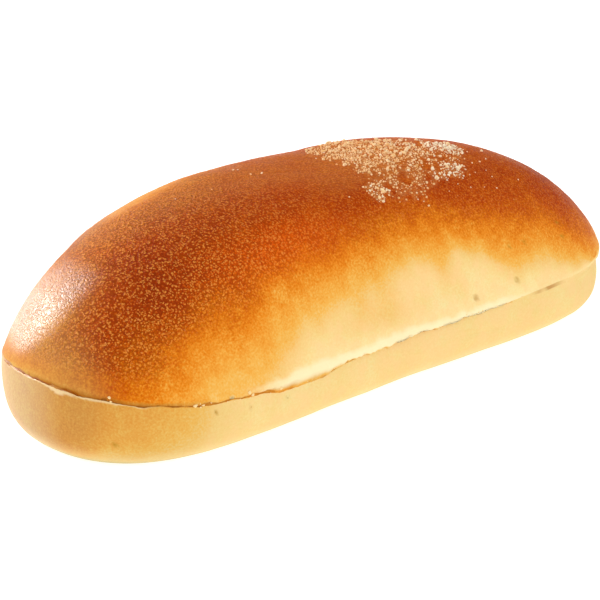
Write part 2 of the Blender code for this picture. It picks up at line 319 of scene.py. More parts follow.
def crease_rings(places):
    """The rings from the dome's edge through the tear to the base's rim, each with how far down it lies."""
    edge_x, edge_y, shape = crease_line(places)
    normals = outward(edge_x, edge_y)
    edge_z = edge_height(places)
    groove_z = shape["z"] + frayed(places, 41) * (1.0 + LIP_JAGS * shape["lip"] / LIP_OVERHANG)
    lip = shape["lip"] - shape["setback"]
    rings = []
    for start, degrees in [(1.0, angle) for angle in CURL_ANGLES] + [(2.0, angle) for angle in RIM_ANGLES]:
        level, upright = math.cos(math.radians(degrees)), math.sin(math.radians(degrees))
        if start == 1.0:
            out = (lip + shape["groove"]) * level - shape["groove"]
            z = edge_z - (edge_z - groove_z) * upright
        else:
            z = shape["z"] - RIM_DROP - RIM_ROUND * (1.0 - level) - rim_tears(places) * level
            out = (shape["rim"] + shape["inner"]) * upright - shape["inner"]
        rings.append((start + degrees / 90.0, pushed_out(edge_x, edge_y, z, normals, out)))
    rings += [(3.0 + part, base_ring(part, places)) for part in UPPER_BASE]
    front = smooth_step(-edge_y / HALF_WIDTH, *FRONT_SIDE)
    closed = CLOSED * span(edge_x, *CLOSED_SPAN, CLOSED_FADE) * front
    top = shoulder_ring(shoulder_sizes()[-1], places)
    bottom = base_ring(1.0 / BASE_RINGS, places)
    for index, (_, ring) in enumerate(rings):
        part = (index + 1.0) / (len(rings) + 1.0)
        ring += (top + (bottom - top) * part - ring) * closed
    return rings


print("the tear is made of", len(CURL_ANGLES) + len(RIM_ANGLES) + len(UPPER_BASE), "rings")

# %% [markdown]
# ## A grid for the top of the dome
# Rings that shrink to one point would pinch the ridge into long thin faces. So the top of the dome is a grid,
# squeezed to the shape of the outlines: each square of the grid's cells becomes one nested outline.

# %% The grid on top of the dome
CELLS_LONG = 200
CELLS_WIDE = 80


def patch_place(u, v):
    """Where the way from the middle through the grid point (u, v) meets the ring, as a fraction."""
    half_long = CELLS_LONG / 2.0
    half_wide = CELLS_WIDE / 2.0
    if abs(u) >= abs(v) and u >= 0.0:
        step = half_wide * (v / u if u else 0.0)
    elif abs(u) >= abs(v):
        step = half_wide + CELLS_LONG + half_wide * (1.0 + v / u)
    elif v > 0.0:
        step = half_wide + half_long * (1.0 - u / v)
    else:
        step = half_wide + CELLS_LONG + CELLS_WIDE + half_long * (1.0 - u / v)
    return step / (2.0 * (CELLS_LONG + CELLS_WIDE))


def patch_points():
    """The grid on top of the dome, from grid index to x, y, z, how far down and the place along the ring."""
    by_size = {}
    for i in range(CELLS_LONG + 1):
        for j in range(CELLS_WIDE + 1):
            u = 2.0 * i / CELLS_LONG - 1.0
            v = 2.0 * j / CELLS_WIDE - 1.0
            size = round(max(abs(u), abs(v)), 9)
            by_size.setdefault(size, []).append((i, j, patch_place(u, v)))
    points = {}
    for size, cells in by_size.items():
        x, y, z = dome_ring(size * PATCH_EDGE, np.array([cell[2] for cell in cells]))
        for index, (i, j, place) in enumerate(cells):
            points[i, j] = (x[index], y[index], z[index], size * PATCH_EDGE, place)
    return points


def patch_border():
    """Grid indices round the patch, in the order of the ring."""
    half = CELLS_WIDE // 2
    right = [(CELLS_LONG, j) for j in range(half, CELLS_WIDE)]
    back = [(i, CELLS_WIDE) for i in range(CELLS_LONG, 0, -1)]
    left = [(0, j) for j in range(CELLS_WIDE, 0, -1)]
    front = [(i, 0) for i in range(CELLS_LONG)]
    return right + back + left + front + [(CELLS_LONG, j) for j in range(half)]


print("the grid has", CELLS_LONG * CELLS_WIDE, "faces")

# %% [markdown]
# ## One fine skin
# Rings run from the border of the grid down over the shoulder, through the tear and down to the foot. They
# keep the mesh in line with the crease, and those in the tear are three times as fine. A voxel remesh would
# be simpler, but it would round the torn edges off. Every point remembers how far down it lies, from 0 on
# the ridge through 1 at the dome's edge to 4 at the foot, because the colours need it.

# %% Join the grid and the rings
FINENESS = 3
FOOT_RINGS = (0.97, 0.9)


def faces_between(above, below):
    """Faces from one ring down to the next. One of them may have FINENESS times the points of the other."""
    fine, coarse = (below, above) if len(below) > len(above) else (above, below)
    ratio = len(fine) // len(coarse)
    made = []
    for a in range(len(coarse)):
        b = (a + 1) % len(coarse)
        if ratio == 1:
            made.append((above[a], below[a], below[b], above[b]))
            continue
        spread = [fine[(a * ratio + i) % len(fine)] for i in range(ratio + 1)]
        middle = (ratio + 1) // 2
        fan = [(spread[i], spread[i + 1], coarse[a if i < middle else b]) for i in range(ratio)]
        fan.append((coarse[b], coarse[a], spread[middle]))
        made += fan if fine is below else [tuple(reversed(face)) for face in fan]
    return made


def skin():
    """Rows of x, y, z, how far down and place, and the faces between them."""
    patch = patch_points()
    number = {key: index for index, key in enumerate(patch)}
    rows = list(patch.values())
    faces = [
        (number[i, j], number[i + 1, j], number[i + 1, j + 1], number[i, j + 1])
        for i in range(CELLS_LONG)
        for j in range(CELLS_WIDE)
    ]
    above = [number[key] for key in patch_border()]
    places = np.arange(len(above)) / len(above)
    fine_places = np.arange(len(above) * FINENESS) / (len(above) * FINENESS)
    rings = [(places, size, shoulder_ring(size, places)) for size in shoulder_sizes()]
    rings += [(fine_places, down, ring) for down, ring in crease_rings(fine_places)]
    parts = [step / BASE_RINGS for step in range(1, BASE_RINGS + 1)]
    rings += [(places, 3.0 + part, base_ring(part, places)) for part in parts]
    foot_x, foot_y, foot_z = rings[-1][2]
    rings += [(places, 4.0, (foot_x * scale, foot_y * scale, foot_z)) for scale in FOOT_RINGS]
    for ring_places, down, (x, y, z) in rings:
        below = list(range(len(rows), len(rows) + len(x)))
        rows += zip(x, y, z, [down] * len(x), ring_places)
        faces += faces_between(above, below)
        above = below
    faces.append(tuple(reversed(above)))
    return np.array(rows), faces


rows, faces = skin()
print("the skin has", len(rows), "points and", len(faces), "faces")

# %% [markdown]
# ## Relief in the skin
# A real dome isn't a perfect curve. Gas pockets leave soft swells, and the ridge has faint wrinkles where it
# sank as it cooled. Noise pushed out along the normal gives both. It is kept out of the crease and off the
# foot, and most of it goes inwards, so that the bun doesn't grow past its packed size.

# %% Swells and wrinkles
# Each swell: how wide and how high
SWELLS = ((13.0 * MM, 0.16 * MM), (5.0 * MM, 0.05 * MM), (1.7 * MM, 0.03 * MM))
SWELL_INWARD = 0.13 * MM
SWELL_ON_BASE = 0.5
NOISE_REACH = 1.6
# Wrinkles: how wide and deep, their width by their length, which way they run and where they lie
WRINKLE_PITCH = 1.7 * MM
WRINKLE_DEPTH = 0.07 * MM
WRINKLE_STRETCH = 0.2
WRINKLE_TURN = -24.0
WRINKLE_LEVEL = (0.80, 0.97)
WRINKLE_X = -12.0 * MM
WRINKLE_SPAN = (18.0 * MM, 34.0 * MM)


def spread_noise(points, pitch, seed):
    """Smooth noise between about -1 and 1 at each point, with features about one pitch wide."""
    offset = Vector((seed * 3.7, seed * 5.3, seed * 7.9))
    return np.array([noise.noise(Vector(point) / pitch + offset) for point in points]) * NOISE_REACH


def new_object(name, data):
    obj = bpy.data.objects.new(name, data)
    bpy.context.scene.collection.objects.link(obj)
    return obj


def mesh_object(name, vertices, faces):
    mesh = bpy.data.meshes.new(name)
    mesh.from_pydata(vertices, [], faces)
    mesh.update()
    return new_object(name, mesh)


def turned(x, y, degrees):
    """x and y along and across a direction."""
    turn = math.radians(degrees)
    return x * math.cos(turn) + y * math.sin(turn), y * math.cos(turn) - x * math.sin(turn)


x_along, y_across, z_up, down, place = rows.T
y_bent = bent(x_along, y_across)
points = np.column_stack([x_along + CENTRING[0], y_bent + CENTRING[1], z_up])
crust = mesh_object("crust", points, faces)
normals = np.empty(len(rows) * 3, np.float32)
crust.data.vertex_normals.foreach_get("vector", normals)
normals = normals.reshape(-1, 3).astype(float)
on_dome = 1.0 - smooth_step(down, 0.96, 1.0)
on_base = smooth_step(down, 3.1, 3.4) * (1.0 - smooth_step(down, 3.75, 3.95))
swell = sum(height * spread_noise(points, pitch, index) for index, (pitch, height) in enumerate(SWELLS))
push = (swell - SWELL_INWARD) * (on_dome + SWELL_ON_BASE * on_base)
along, across = turned(points[:, 0], points[:, 1], WRINKLE_TURN)
wrinkles = spread_noise(np.column_stack([along * WRINKLE_STRETCH, across, z_up]), WRINKLE_PITCH, 91)
wrinkles = np.minimum(wrinkles, 0.0) * smooth_step(normals[:, 2], *WRINKLE_LEVEL)
push += WRINKLE_DEPTH * wrinkles * (1.0 - smooth_step(np.abs(x_along - WRINKLE_X), *WRINKLE_SPAN))
print("swells and wrinkles from", round(push.min() / MM, 2), "to", round(push.max() / MM, 2), "mm")

# %% [markdown]
# ## Pits and a fold
# A few burst bubbles left pits on the front, and the base has one shallow fold. Each is a small dent at a
# place of its own. Cutting them with Booleans would leave sharp edges, and the dough's are soft.

# %% Dent the skin
# Each pit in mm: where it lies along the bun, its height, its half width and its depth
PITS = (
    (19.7, 12.9, 0.65, 0.35),
    (31.0, 13.5, 0.60, 0.32),
    (31.1, 19.7, 0.45, 0.18),
    (35.5, 19.3, 0.45, 0.18),
    (47.1, 17.4, 0.55, 0.20),
    (47.2, 19.7, 0.45, 0.18),
    (-37.7, 7.8, 0.40, 0.20),
    (-45.4, 8.9, 0.32, 0.18),
    (-28.9, 7.0, 0.32, 0.18),
    (-61.9, 5.2, 0.40, 0.18),
)
PIT_REACH = 1.35
# The fold's ends along the bun, with its height at both, in mm
FOLD_X = (14.0, 31.0)
FOLD_Z = (6.4, 4.6)
FOLD_DEPTH = 0.26 * MM
FOLD_HALF_WIDTH = 0.7

x_mm, y_mm, z_mm = x_along / MM, y_across / MM, z_up / MM
faces_front = y_across < 0.0
# How far in a pit each point lies, for the pits' painted shade
pit_shade = np.zeros(len(rows))
for pit_x, pit_z, half_width, depth in PITS:
    pit = bump(np.hypot(x_mm - pit_x, z_mm - pit_z), 0.0, half_width * PIT_REACH) * faces_front
    push -= pit * depth * MM
    pit_shade = np.maximum(pit_shade, pit)
in_fold = bump(x_mm, sum(FOLD_X) / 2.0, (FOLD_X[1] - FOLD_X[0]) / 2.0)
fold = bump(z_mm, np.interp(x_mm, FOLD_X, FOLD_Z), FOLD_HALF_WIDTH) * np.sqrt(in_fold)
push -= fold * FOLD_DEPTH * faces_front * (down > 3.0)
points = np.clip(points + normals * push[:, None], cad_low, cad_high)
crust.data.vertices.foreach_set("co", points.ravel())
crust.data.update()
print("relief from", round(push.min() / MM, 2), "to", round(push.max() / MM, 2), "mm")

# %% [markdown]
# ## Measures on the skin
# The colours follow the form: how steep the skin is, which way it faces and how far along the bun it lies.
# Every point knows these from its place and its normal, so a patch of colour is written as a few measures
# with two numbers each, lengths in mm. An image could be painted too, but this way fits any side.

# %% Measures and masks
where = {
    "x": x_mm,
    "near": -x_mm,
    "fore": -y_mm,
    "z": z_mm,
    "down": down,
    "above_edge": (z_up - edge_height(place)) / MM,
    "to_end": -normals[:, 0],
    "to_back": normals[:, 1],
}
EDGE_STEEPER = 0.85


def mask(**steps):
    """The product of smooth steps, each from 0 at the first number to 1 at the second."""
    return math.prod(smooth_step(where[name], *step) for name, step in steps.items())


def oval(**bumps):
    """The product of bumps, each with its middle and its reach."""
    return math.prod(bump(where[name], *numbers) for name, numbers in bumps.items())


def store(obj, name, values):
    """One number per vertex, under a name that materials can read."""
    attribute = obj.data.attributes.new(name, "FLOAT", "POINT")
    attribute.data.foreach_set("value", np.asarray(values, np.float32))


slope = np.minimum(normals[:, 2], 1.0 - EDGE_STEEPER * mask(above_edge=(0.7, 0.1)))
where["slope"] = slope
print("measures on the skin:", ", ".join(where))

# %% [markdown]
# ## Where the oven browned it
# Heat from above browns what faces up, and leaves the steep sides golden. This bun is browned more at its
# near end, with one dark patch on the near shoulder. The ridge is made paler by painted sheen, and the
# skyline, the side turned away and the low tip of the near end are paler partly from painted sheen, where the
# skin catches light at a grazing angle. Streaks of noise, drawn out down the slope, break the borders between
# the tones. Each tone is an amount and a place.

# %% Brown the dome
NEAR_HEAT = 0.22
FAR_HEAT = 0.105
# Each streak: how wide and how strong
STREAKS = ((9.0 * MM, 0.035), (3.5 * MM, 0.025))
STREAK_STRETCH = 0.35
SIDE_LAG = 12.0
# How much paler the low tip of the near end is made: painted sheen
END_BROWN = 0.345
END_SHEEN_PALER = 0.20

stretched = points * np.array([1.0, 1.0, STREAK_STRETCH])
streaks = sum(amount * spread_noise(stretched, pitch, 21 + i) for i, (pitch, amount) in enumerate(STREAKS))
sideways = NEAR_HEAT * np.maximum(-normals[:, 0], 0.0) + FAR_HEAT * np.maximum(normals[:, 0], 0.0)
where["heat"] = slope + sideways + streaks
where["from_middle"] = -x_mm - SIDE_LAG * mask(z=(22.0, 10.0))
looks_front = normals[:, 1] < 0.0
# Where the ridge is made paler and greyer: painted sheen on the ridge
ridge_sheen_area = 1.0 - mask(to_back=(0.05, -0.25), near=(-2.0, 10.0))
# The skyline made paler and greyer: partly painted sheen at a grazing angle
skyline = mask(to_back=(0.16, 0.42)) * span(x_mm, -48.0, 2.0, 12.0)
dome_tones = {
    "facing up": (0.70, mask(heat=(0.25, 0.86))),
    # the ridge made paler: painted sheen
    "ridge": (-0.15, ridge_sheen_area * mask(slope=(0.82, 1.0))),
    "pale patch": (-0.07, looks_front * oval(x=(9.0, 13.0), slope=(0.62, 0.30))),
    # the side turned away made paler: partly painted sheen
    "turned away": (-0.20, mask(to_back=(-0.10, 0.30), near=(0.0, 32.0))),
    # the skyline made paler: partly painted sheen
    "skyline": (-0.22, skyline),
    "steep side": (-0.035, mask(heat=(0.5, 0.25))),
    "gold side": (0.14, mask(from_middle=(8.0, 27.0), slope=(0.70, 0.35))),
    "side of the near end": (-0.06, mask(from_middle=(40.0, 58.0), slope=(0.70, 0.35))),
    "below the shoulder": (-0.08, looks_front * oval(x=(-47.0, 16.0), slope=(0.48, 0.28))),
    "near shoulder": (0.15, oval(x=(-45.0, 17.0), slope=(0.78, 0.24))),
}
brown = sum(amount * share for amount, share in dome_tones.values())
at_end = mask(near=(44.0, 64.0)) * np.maximum(mask(to_end=(0.52, 0.92)), mask(to_back=(-0.45, 0.05)))
# The low tip of the near end, made paler and greyer: painted sheen where the lamp's light grazes it
end_low_sheen = mask(to_end=(0.74, 0.97), slope=(0.40, 0.05)) * (x_mm < 0.0)
brown += (END_BROWN - END_SHEEN_PALER * end_low_sheen - brown) * at_end
print("tones on the dome:", ", ".join(dome_tones))

# %% [markdown]
# ## The base and the groove
# The base stood in the dome's shade, so it stays pale, with some colour at the near end. The walls of the open
# tear are made browner, which is painted shade in the tear. The browning is then stored on the mesh as a
# named value, which the material colours.

# %% Brown the base
BASE_NEAR_BROWN = 0.19
BASE_LOW_PALER = 0.7
BASE_END_BROWN = 0.07
BASE_STREAKS = 0.3
GROOVE_SHADE_BROWN = (0.07, 0.12)

is_base = mask(down=(0.995, 1.3))
near_end = mask(near=(35.0, 64.0))
base_tip = mask(to_end=(0.75, 0.97))
base_away = mask(near=(50.0, 62.0), to_back=(-0.25, 0.15))
base_low = mask(down=(3.1, 3.9), to_end=(0.95, 0.6))
base_brown = BASE_NEAR_BROWN * near_end * (1.0 - BASE_LOW_PALER * base_low) + BASE_STREAKS * streaks
base_brown += BASE_END_BROWN * base_tip
# Browner walls in the open tear: painted shade
in_groove = mask(down=(1.1, 1.5)) * mask(down=(3.0, 2.4)) * (x_along < CLOSED_SPAN[0])
groove_shade_brown = GROOVE_SHADE_BROWN[0] + GROOVE_SHADE_BROWN[1] * mask(near=(15.0, 34.0))
base_brown += (groove_shade_brown - base_brown) * in_groove
brown = brown * (1.0 - is_base) + base_brown * is_base
store(crust, "brown", brown)
print("browning from", round(float(brown.min()), 2), "to", round(float(brown.max()), 2))

# %% [markdown]
# ## The lip and the tear's painted shade
# The lip is the pale strip of stretched crumb along the dome's lower edge, and the same crumb shows low on
# the foot. The dark line in the tear, and just above it on the dome at the near end, is painted shade. Noise
# breaks it up, so that it doesn't look drawn.

# %% Store the lip and the tear's painted shade
LIP_HEIGHT = 1.75
LIP_HIDDEN = 0.35
LIP_RAGGED = 0.3
FOOT_PALE = 0.4
CRACK_BREAKS = 3.0 * MM
DARK_CRACK = (44.0, 56.0)
FAINT_CRACK = 0.35
FAR_CRACK = 0.6
EDGE_CRACK_SHADE = 0.85

front = smooth_step(-y_across / HALF_WIDTH, *FRONT_SIDE)
lip = span(x_mm, -34.0, 31.0, 7.0) * (LIP_HIDDEN + (1.0 - LIP_HIDDEN) * front) * mask(down=(1.5, 1.1))
ragged = LIP_RAGGED * spread_noise(points, CRACK_BREAKS, 73)
lip_top = LIP_HEIGHT * (0.75 + 0.35 * bump(x_along, LIP_X, LIP_HALF_LENGTH) + ragged)
lip *= 1.0 - smooth_step(where["above_edge"], 0.45 * lip_top, 1.1 * lip_top)
lip = np.maximum(lip, FOOT_PALE * mask(down=(3.45, 3.8)))
store(crust, "lip", lip)
# The dark line in the tear is painted shade, broken up by noise
breaks = smooth_step(spread_noise(points, CRACK_BREAKS, 71), -0.7, 0.3)
near_tear = FAINT_CRACK * mask(near=(10.0, 40.0)) + (1.0 - FAINT_CRACK) * mask(near=DARK_CRACK)
near_crack = near_tear * (FAINT_CRACK + (1.0 - FAINT_CRACK) * breaks)
far_crack = FAR_CRACK * oval(x=(39.0, 6.0)) * breaks * front
crack_shade = mask(down=(0.985, 1.1)) * mask(down=(2.4, 2.1)) * np.maximum(near_crack, far_crack)
# A thin dark line on the dome just above the tear at the near end: painted shade
edge_crack_shade = mask(above_edge=(0.36, 0.14), near=DARK_CRACK, fore=(-6.0, 2.0)) * (down < 1.5)
store(crust, "crack_shade", np.maximum(crack_shade, EDGE_CRACK_SHADE * edge_crack_shade))
print("the lip covers", int((lip > 0.5).sum()), "points and the crack", int((crack_shade > 0.3).sum()))

# %% [markdown]
# ## The torn rim
# Round the near end the upper edge of the base is a thin pale line, with one wider wedge at the tip. It is
# pale torn crumb and partly a painted highlight, where the rim's top edge catches the light. Its width
# follows noise.

# %% Store the torn rim
RIM_PALE = 0.18
RIM_RAGGED = 1.1
RIM_SOFT = 0.05
WEDGE_WIDTH = 0.8
RIM_REACH = (55.0, 62.0)

below_rim = (rim_height(place) - z_up) / MM
rim_width = RIM_PALE * (1.0 + RIM_RAGGED * spread_noise(points, CRACK_BREAKS, 79))
rim_width += WEDGE_WIDTH * oval(fore=(5.5, 4.0)) * mask(near=RIM_REACH)
# pale crumb and a painted highlight on the rim's top edge
torn_rim_and_highlight = 1.0 - smooth_step(below_rim, 0.75 * rim_width, rim_width + RIM_SOFT)
torn_rim_and_highlight *= mask(down=(2.15, 2.35), near=RIM_REACH, fore=(-4.0, 3.0)) * (down < 3.2)
store(crust, "torn_rim_and_highlight", torn_rim_and_highlight)
print("the torn rim covers", int((torn_rim_and_highlight > 0.5).sum()), "points")

# %% [markdown]
# ## Blisters, greyer colour and glaze
# Blisters are thickest on the near half of the dome, where the skin is brown. A greyer colour goes over the
# ridge, the skyline, the side turned away, the near end and the glaze's highlight band: there it is mostly
# painted sheen. On the base it dulls the near end, the side turned away and the tip, and draws a greyer line
# low by the foot. Butter leaves a thin glaze, strong on one band at the near end and weak elsewhere. Each is
# a list of places, and the strongest place wins.

# %% Store the blisters, the greyer colour with its painted sheen, and the glaze
BLISTERS_FAR = 0.35
BLISTERS_STEEP = 0.40
BLISTERS_LEVEL = 0.65
DULL_SHEEN = 0.18
BASE_DULL = 0.075
FOOT_DULL = (0.16, 0.32)

blisters = (BLISTERS_FAR + (1.0 - BLISTERS_FAR) * mask(near=(0.0, 52.0))) * mask(down=(1.0, 0.97))
blisters *= np.maximum(smooth_step(brown, 0.20, 0.45), at_end)
blisters *= BLISTERS_STEEP + BLISTERS_LEVEL * np.maximum(mask(slope=(0.30, 0.80)), at_end)
sheen = mask(near=(45.0, 62.0), to_end=(0.40, 0.56)) * (1.0 - is_base)
sheen *= smooth_step(normals[:, 1] + 0.8 * slope, 0.42, 0.66)
# A greyer colour on the dome, mostly painted sheen; the strongest place wins
dull_and_sheen_places = {
    "near end": 0.30 * at_end,
    # the back of the near end made greyer: partly painted sheen
    "back of the near end": 0.10 * mask(to_back=(-0.1, 0.2), near=(10.0, 45.0)),
    # the ridge made greyer: painted sheen
    "ridge": 0.10 * ridge_sheen_area * mask(slope=(0.86, 1.0), x=(30.0, 5.0)),
}
dome_dull_and_sheen = np.max(list(dull_and_sheen_places.values()), axis=0) + 0.12 * skyline + 0.08 * end_low_sheen
# Greyer under the glaze's highlight band: painted sheen
dome_dull_and_sheen = np.maximum(dome_dull_and_sheen, DULL_SHEEN * sheen)
# On the base the greyer colour dulls the near end, the side turned away and the tip
base_dull = BASE_DULL + 0.20 * near_end + 0.12 * base_away + 0.12 * base_tip
# and draws a greyer, darker line low on the base near the foot
base_dull += (FOOT_DULL[0] + FOOT_DULL[1] * near_end) * mask(down=(3.70, 3.86))
glaze_places = {
    "everywhere": np.full(len(rows), 0.012),
    "ridge": 0.04 * mask(slope=(0.78, 0.97)),
    "band at the near end": sheen,
    "far side": 0.035 * mask(near=(-10.0, 50.0), to_back=(0.0, 0.3)),
}
glaze = np.max(list(glaze_places.values()), axis=0) * mask(down=(1.0, 0.97))
for name, values in {
    "blisters": blisters,
    "pit_shade": pit_shade,
    "dull_and_sheen": base_dull * is_base + dome_dull_and_sheen * (1.0 - is_base),
    "glaze": np.maximum(glaze, 0.55 * is_base * base_away),
    "glow": oval(x=(-24.0, 26.0), slope=(0.72, 0.26)) * faces_front,
}.items():
    store(crust, name, values)
    print(name, "is at most", round(float(np.max(values)), 2))

# %% [markdown]
# ## Where the flour lies
# Coarse flour was scattered over the far half of the ridge. It lies in a dense sandy mat, in whiter clumps
# further along and in a thin scatter down the front. Each of these is a soft oval on the top of the dome, and
# noise breaks their edges up. The mesh stores how much flour lies at each point and how white it is.

# %% Store the flour's amount
# Each oval in mm: its middle, its half sizes, its turn in degrees, how dense and how white
FLOUR_OVALS = (
    (16.0, 2.0, 9.5, 11.0, 0.0, 1.0, 0.25),
    (23.0, -1.0, 8.0, 8.0, -30.0, 0.85, 0.35),
    (28.0, 0.0, 10.0, 6.0, -35.0, 0.55, 0.5),
    (34.5, -3.0, 5.0, 4.5, -35.0, 0.85, 1.0),
    (26.5, -11.5, 6.0, 2.5, 10.0, 0.80, 0.85),
    (7.0, -12.5, 3.4, 2.4, 30.0, 0.85, 0.4),
    (12.0, -6.5, 5.0, 3.5, 0.0, 0.80, 0.2),
    (15.0, -11.0, 9.0, 6.0, 5.0, 0.68, 0.1),
    (26.0, -4.0, 12.0, 9.0, -20.0, 0.52, 0.25),
)
CLUMP_PITCH = 2.6 * MM
FINER_CLUMPS = 2.2
CLUMPED_EDGE = 0.25

flour = np.zeros(len(rows))
white = np.zeros(len(rows))
clumps = spread_noise(points, CLUMP_PITCH, 61)
finer_clumps = spread_noise(points, CLUMP_PITCH / FINER_CLUMPS, 67)
for middle_x, middle_y, half_x, half_y, degrees, dense, whiteness in FLOUR_OVALS:
    along, across = turned(x_mm - middle_x, y_bent / MM - middle_y, degrees)
    reach = np.hypot(along / half_x, across / half_y) + CLUMPED_EDGE * clumps
    amount = dense * (1.0 - smooth_step(reach, 0.7, 1.15)) * (down < 0.9)
    white = np.where(amount > flour, whiteness, white)
    flour = np.maximum(flour, amount)
flour *= smooth_step(clumps + finer_clumps + 2.3 * flour - 1.3, -0.4, 0.5)
store(crust, "flour", flour)
store(crust, "white", white)
store(crust, "granules", flour * white)
print("flour covers", round(float((flour > 0.2).mean()) * 100.0, 1), "percent of the skin's points")

# %% [markdown]
# ## Tools for materials
# A material here is a small graph of nodes. Short helpers keep its cells readable: one adds a node and sets
# its values, others do sums and mixes. A group is made once and placed in each material that needs it.

# %% Node helpers
FLOAT, VECTOR, INT, GEOMETRY = "NodeSocketFloat", "NodeSocketVector", "NodeSocketInt", "NodeSocketGeometry"
# The mix node has sockets for every kind of value, and these are the numbers of the colour ones
FACTOR, FIRST_COLOUR, SECOND_COLOUR, MIXED_COLOUR = 0, 6, 7, 2


def add_node(tree, kind, values=None, **settings):
    """A node with its settings and its input values or links, given by name or number."""
    made = tree.nodes.new(kind)
    for name, value in settings.items():
        setattr(made, name, value)
    for name, value in (values or {}).items():
        if isinstance(value, bpy.types.NodeSocket):
            tree.links.new(value, made.inputs[name])
        else:
            made.inputs[name].default_value = value
    return made


def combine(tree, operation, first, second, clamp=False):
    """The output of a sum, product or other operation on two values."""
    values = {0: first, 1: second}
    return add_node(tree, "ShaderNodeMath", values, operation=operation, use_clamp=clamp).outputs[0]


def times(tree, first, second):
    return combine(tree, "MULTIPLY", first, second)


def plus(tree, first, second, clamp=False):
    return combine(tree, "ADD", first, second, clamp)


def scaled(tree, vector, amount):
    return add_node(tree, "ShaderNodeVectorMath", {0: vector, "Scale": amount}, operation="SCALE").outputs[0]


def noise_shift(tree, values, reach):
    """A random shift in three directions, up to half the reach each way, from a noise texture."""
    colour = add_node(tree, "ShaderNodeTexNoise", values).outputs["Color"]
    centred = add_node(tree, "ShaderNodeVectorMath", {0: colour, 1: (0.5, 0.5, 0.5)}, operation="SUBTRACT")
    return scaled(tree, centred.outputs[0], reach)


def remap(tree, value, low, high, to_low=0.0, to_high=1.0):
    """A value remapped from one range to another, smoothly and clamped."""
    values = {"Value": value, "From Min": low, "From Max": high, "To Min": to_low, "To Max": to_high}
    return add_node(tree, "ShaderNodeMapRange", values, interpolation_type="SMOOTHSTEP").outputs["Result"]


def mix_colours(tree, amount, first, second):
    """The first colour turning into the second as the amount goes from 0 to 1."""
    values = {FACTOR: amount}
    for number, colour in ((FIRST_COLOUR, first), (SECOND_COLOUR, second)):
        values[number] = (*colour, 1.0) if isinstance(colour, tuple) else colour
    return add_node(tree, "ShaderNodeMix", values, data_type="RGBA").outputs[MIXED_COLOUR]


def read_value(tree, name):
    """The named value that the mesh stores at each vertex."""
    return add_node(tree, "ShaderNodeAttribute", attribute_name=name).outputs["Fac"]


def new_material(name):
    """A material, its node tree and its main shader."""
    material = bpy.data.materials.new(name)
    material.use_nodes = True
    return material, material.node_tree, material.node_tree.nodes["Principled BSDF"]


def new_group(name, kind, inputs, outputs):
    """An empty group with its inputs (name, kind, value) and outputs (name, kind)."""
    group = bpy.data.node_groups.new(name, kind)
    for label, socket_kind, value in inputs:
        socket = group.interface.new_socket(name=label, in_out="INPUT", socket_type=socket_kind)
        if value is not None:
            socket.default_value = value
    for label, socket_kind in outputs:
        group.interface.new_socket(name=label, in_out="OUTPUT", socket_type=socket_kind)
    return group, group.nodes.new("NodeGroupInput"), group.nodes.new("NodeGroupOutput")


def place_group(tree, group, **values):
    """A group in a material, reading the object's own coordinates."""
    values["Place"] = add_node(tree, "ShaderNodeTexCoord").outputs["Object"]
    return add_node(tree, "ShaderNodeGroup", values, node_tree=group).outputs[0]


print("node helpers ready")

# %% [markdown]
# ## Mottling
# Bread never browns evenly. Patches a centimetre wide, freckles a few millimetres wide and a fine grain lie
# over each other. One group adds three noises of those sizes, and each material sets its own amounts.

# %% The mottling group
MOTTLE_SCALES = {"Patches": 95.0, "Freckles": 420.0, "Grain": 2600.0}

mottle_inputs = [("Place", VECTOR, None)] + [(label, FLOAT, 1.0) for label in MOTTLE_SCALES]
mottling, given, result = new_group("mottling", "ShaderNodeTree", mottle_inputs, [("Value", FLOAT)])
total = 0.0
for label, scale in MOTTLE_SCALES.items():
    values = {"Vector": given.outputs["Place"], "Scale": scale, "Detail": 2.0}
    speckle = add_node(mottling, "ShaderNodeTexNoise", values).outputs["Fac"]
    centred = combine(mottling, "SUBTRACT", speckle, 0.5)
    total = plus(mottling, times(mottling, centred, given.outputs[label]), total)
mottling.links.new(total, result.inputs["Value"])
print("mottling at", [round(1000.0 / scale, 1) for scale in MOTTLE_SCALES.values()], "mm")

# %% [markdown]
# ## Pores and pimples
# Seen close, the browned skin is a tight net of pimples under half a millimetre wide, with gaps between them
# where shade is later painted. A Voronoi texture gives every pimple a cell of its own. The distance from the
# cell's middle makes it round, and the cell's random colour decides how high it stands. A little noise bends
# the cells out of shape.

# %% The pimple group
PIMPLE_SCALE = 2250.0
WARP = {"Scale": 1900.0, "Detail": 1.0}
WARP_REACH = 0.65 * MM

pimple_inputs = [("Place", VECTOR, None), ("Scale", FLOAT, PIMPLE_SCALE)]
pimples, given, result = new_group("pimples", "ShaderNodeTree", pimple_inputs, [("Height", FLOAT)])
at = given.outputs["Place"]
warp = noise_shift(pimples, {"Vector": at, **WARP}, WARP_REACH)
warped = add_node(pimples, "ShaderNodeVectorMath", {0: warp, 1: at}).outputs[0]
cells = add_node(pimples, "ShaderNodeTexVoronoi", {"Vector": warped, "Scale": given.outputs["Scale"]})
cell_random = add_node(pimples, "ShaderNodeSeparateColor", {0: cells.outputs["Color"]}).outputs[1]
roundness = remap(pimples, cells.outputs["Distance"], 0.15, 0.8, 1.0, 0.0)
standing = remap(pimples, cell_random, 0.0, 1.0, 0.6, 1.0)
pimples.links.new(times(pimples, roundness, standing), result.inputs["Height"])
print("pimples about", round(1000.0 / PIMPLE_SCALE, 1), "mm wide")

# %% [markdown]
# ## The tones of baked skin
# The browning value picks the colour from a ramp of baked tones, from pale dough to golden, orange and dark
# brown. Browning takes the blue out of the dough first, then the green.

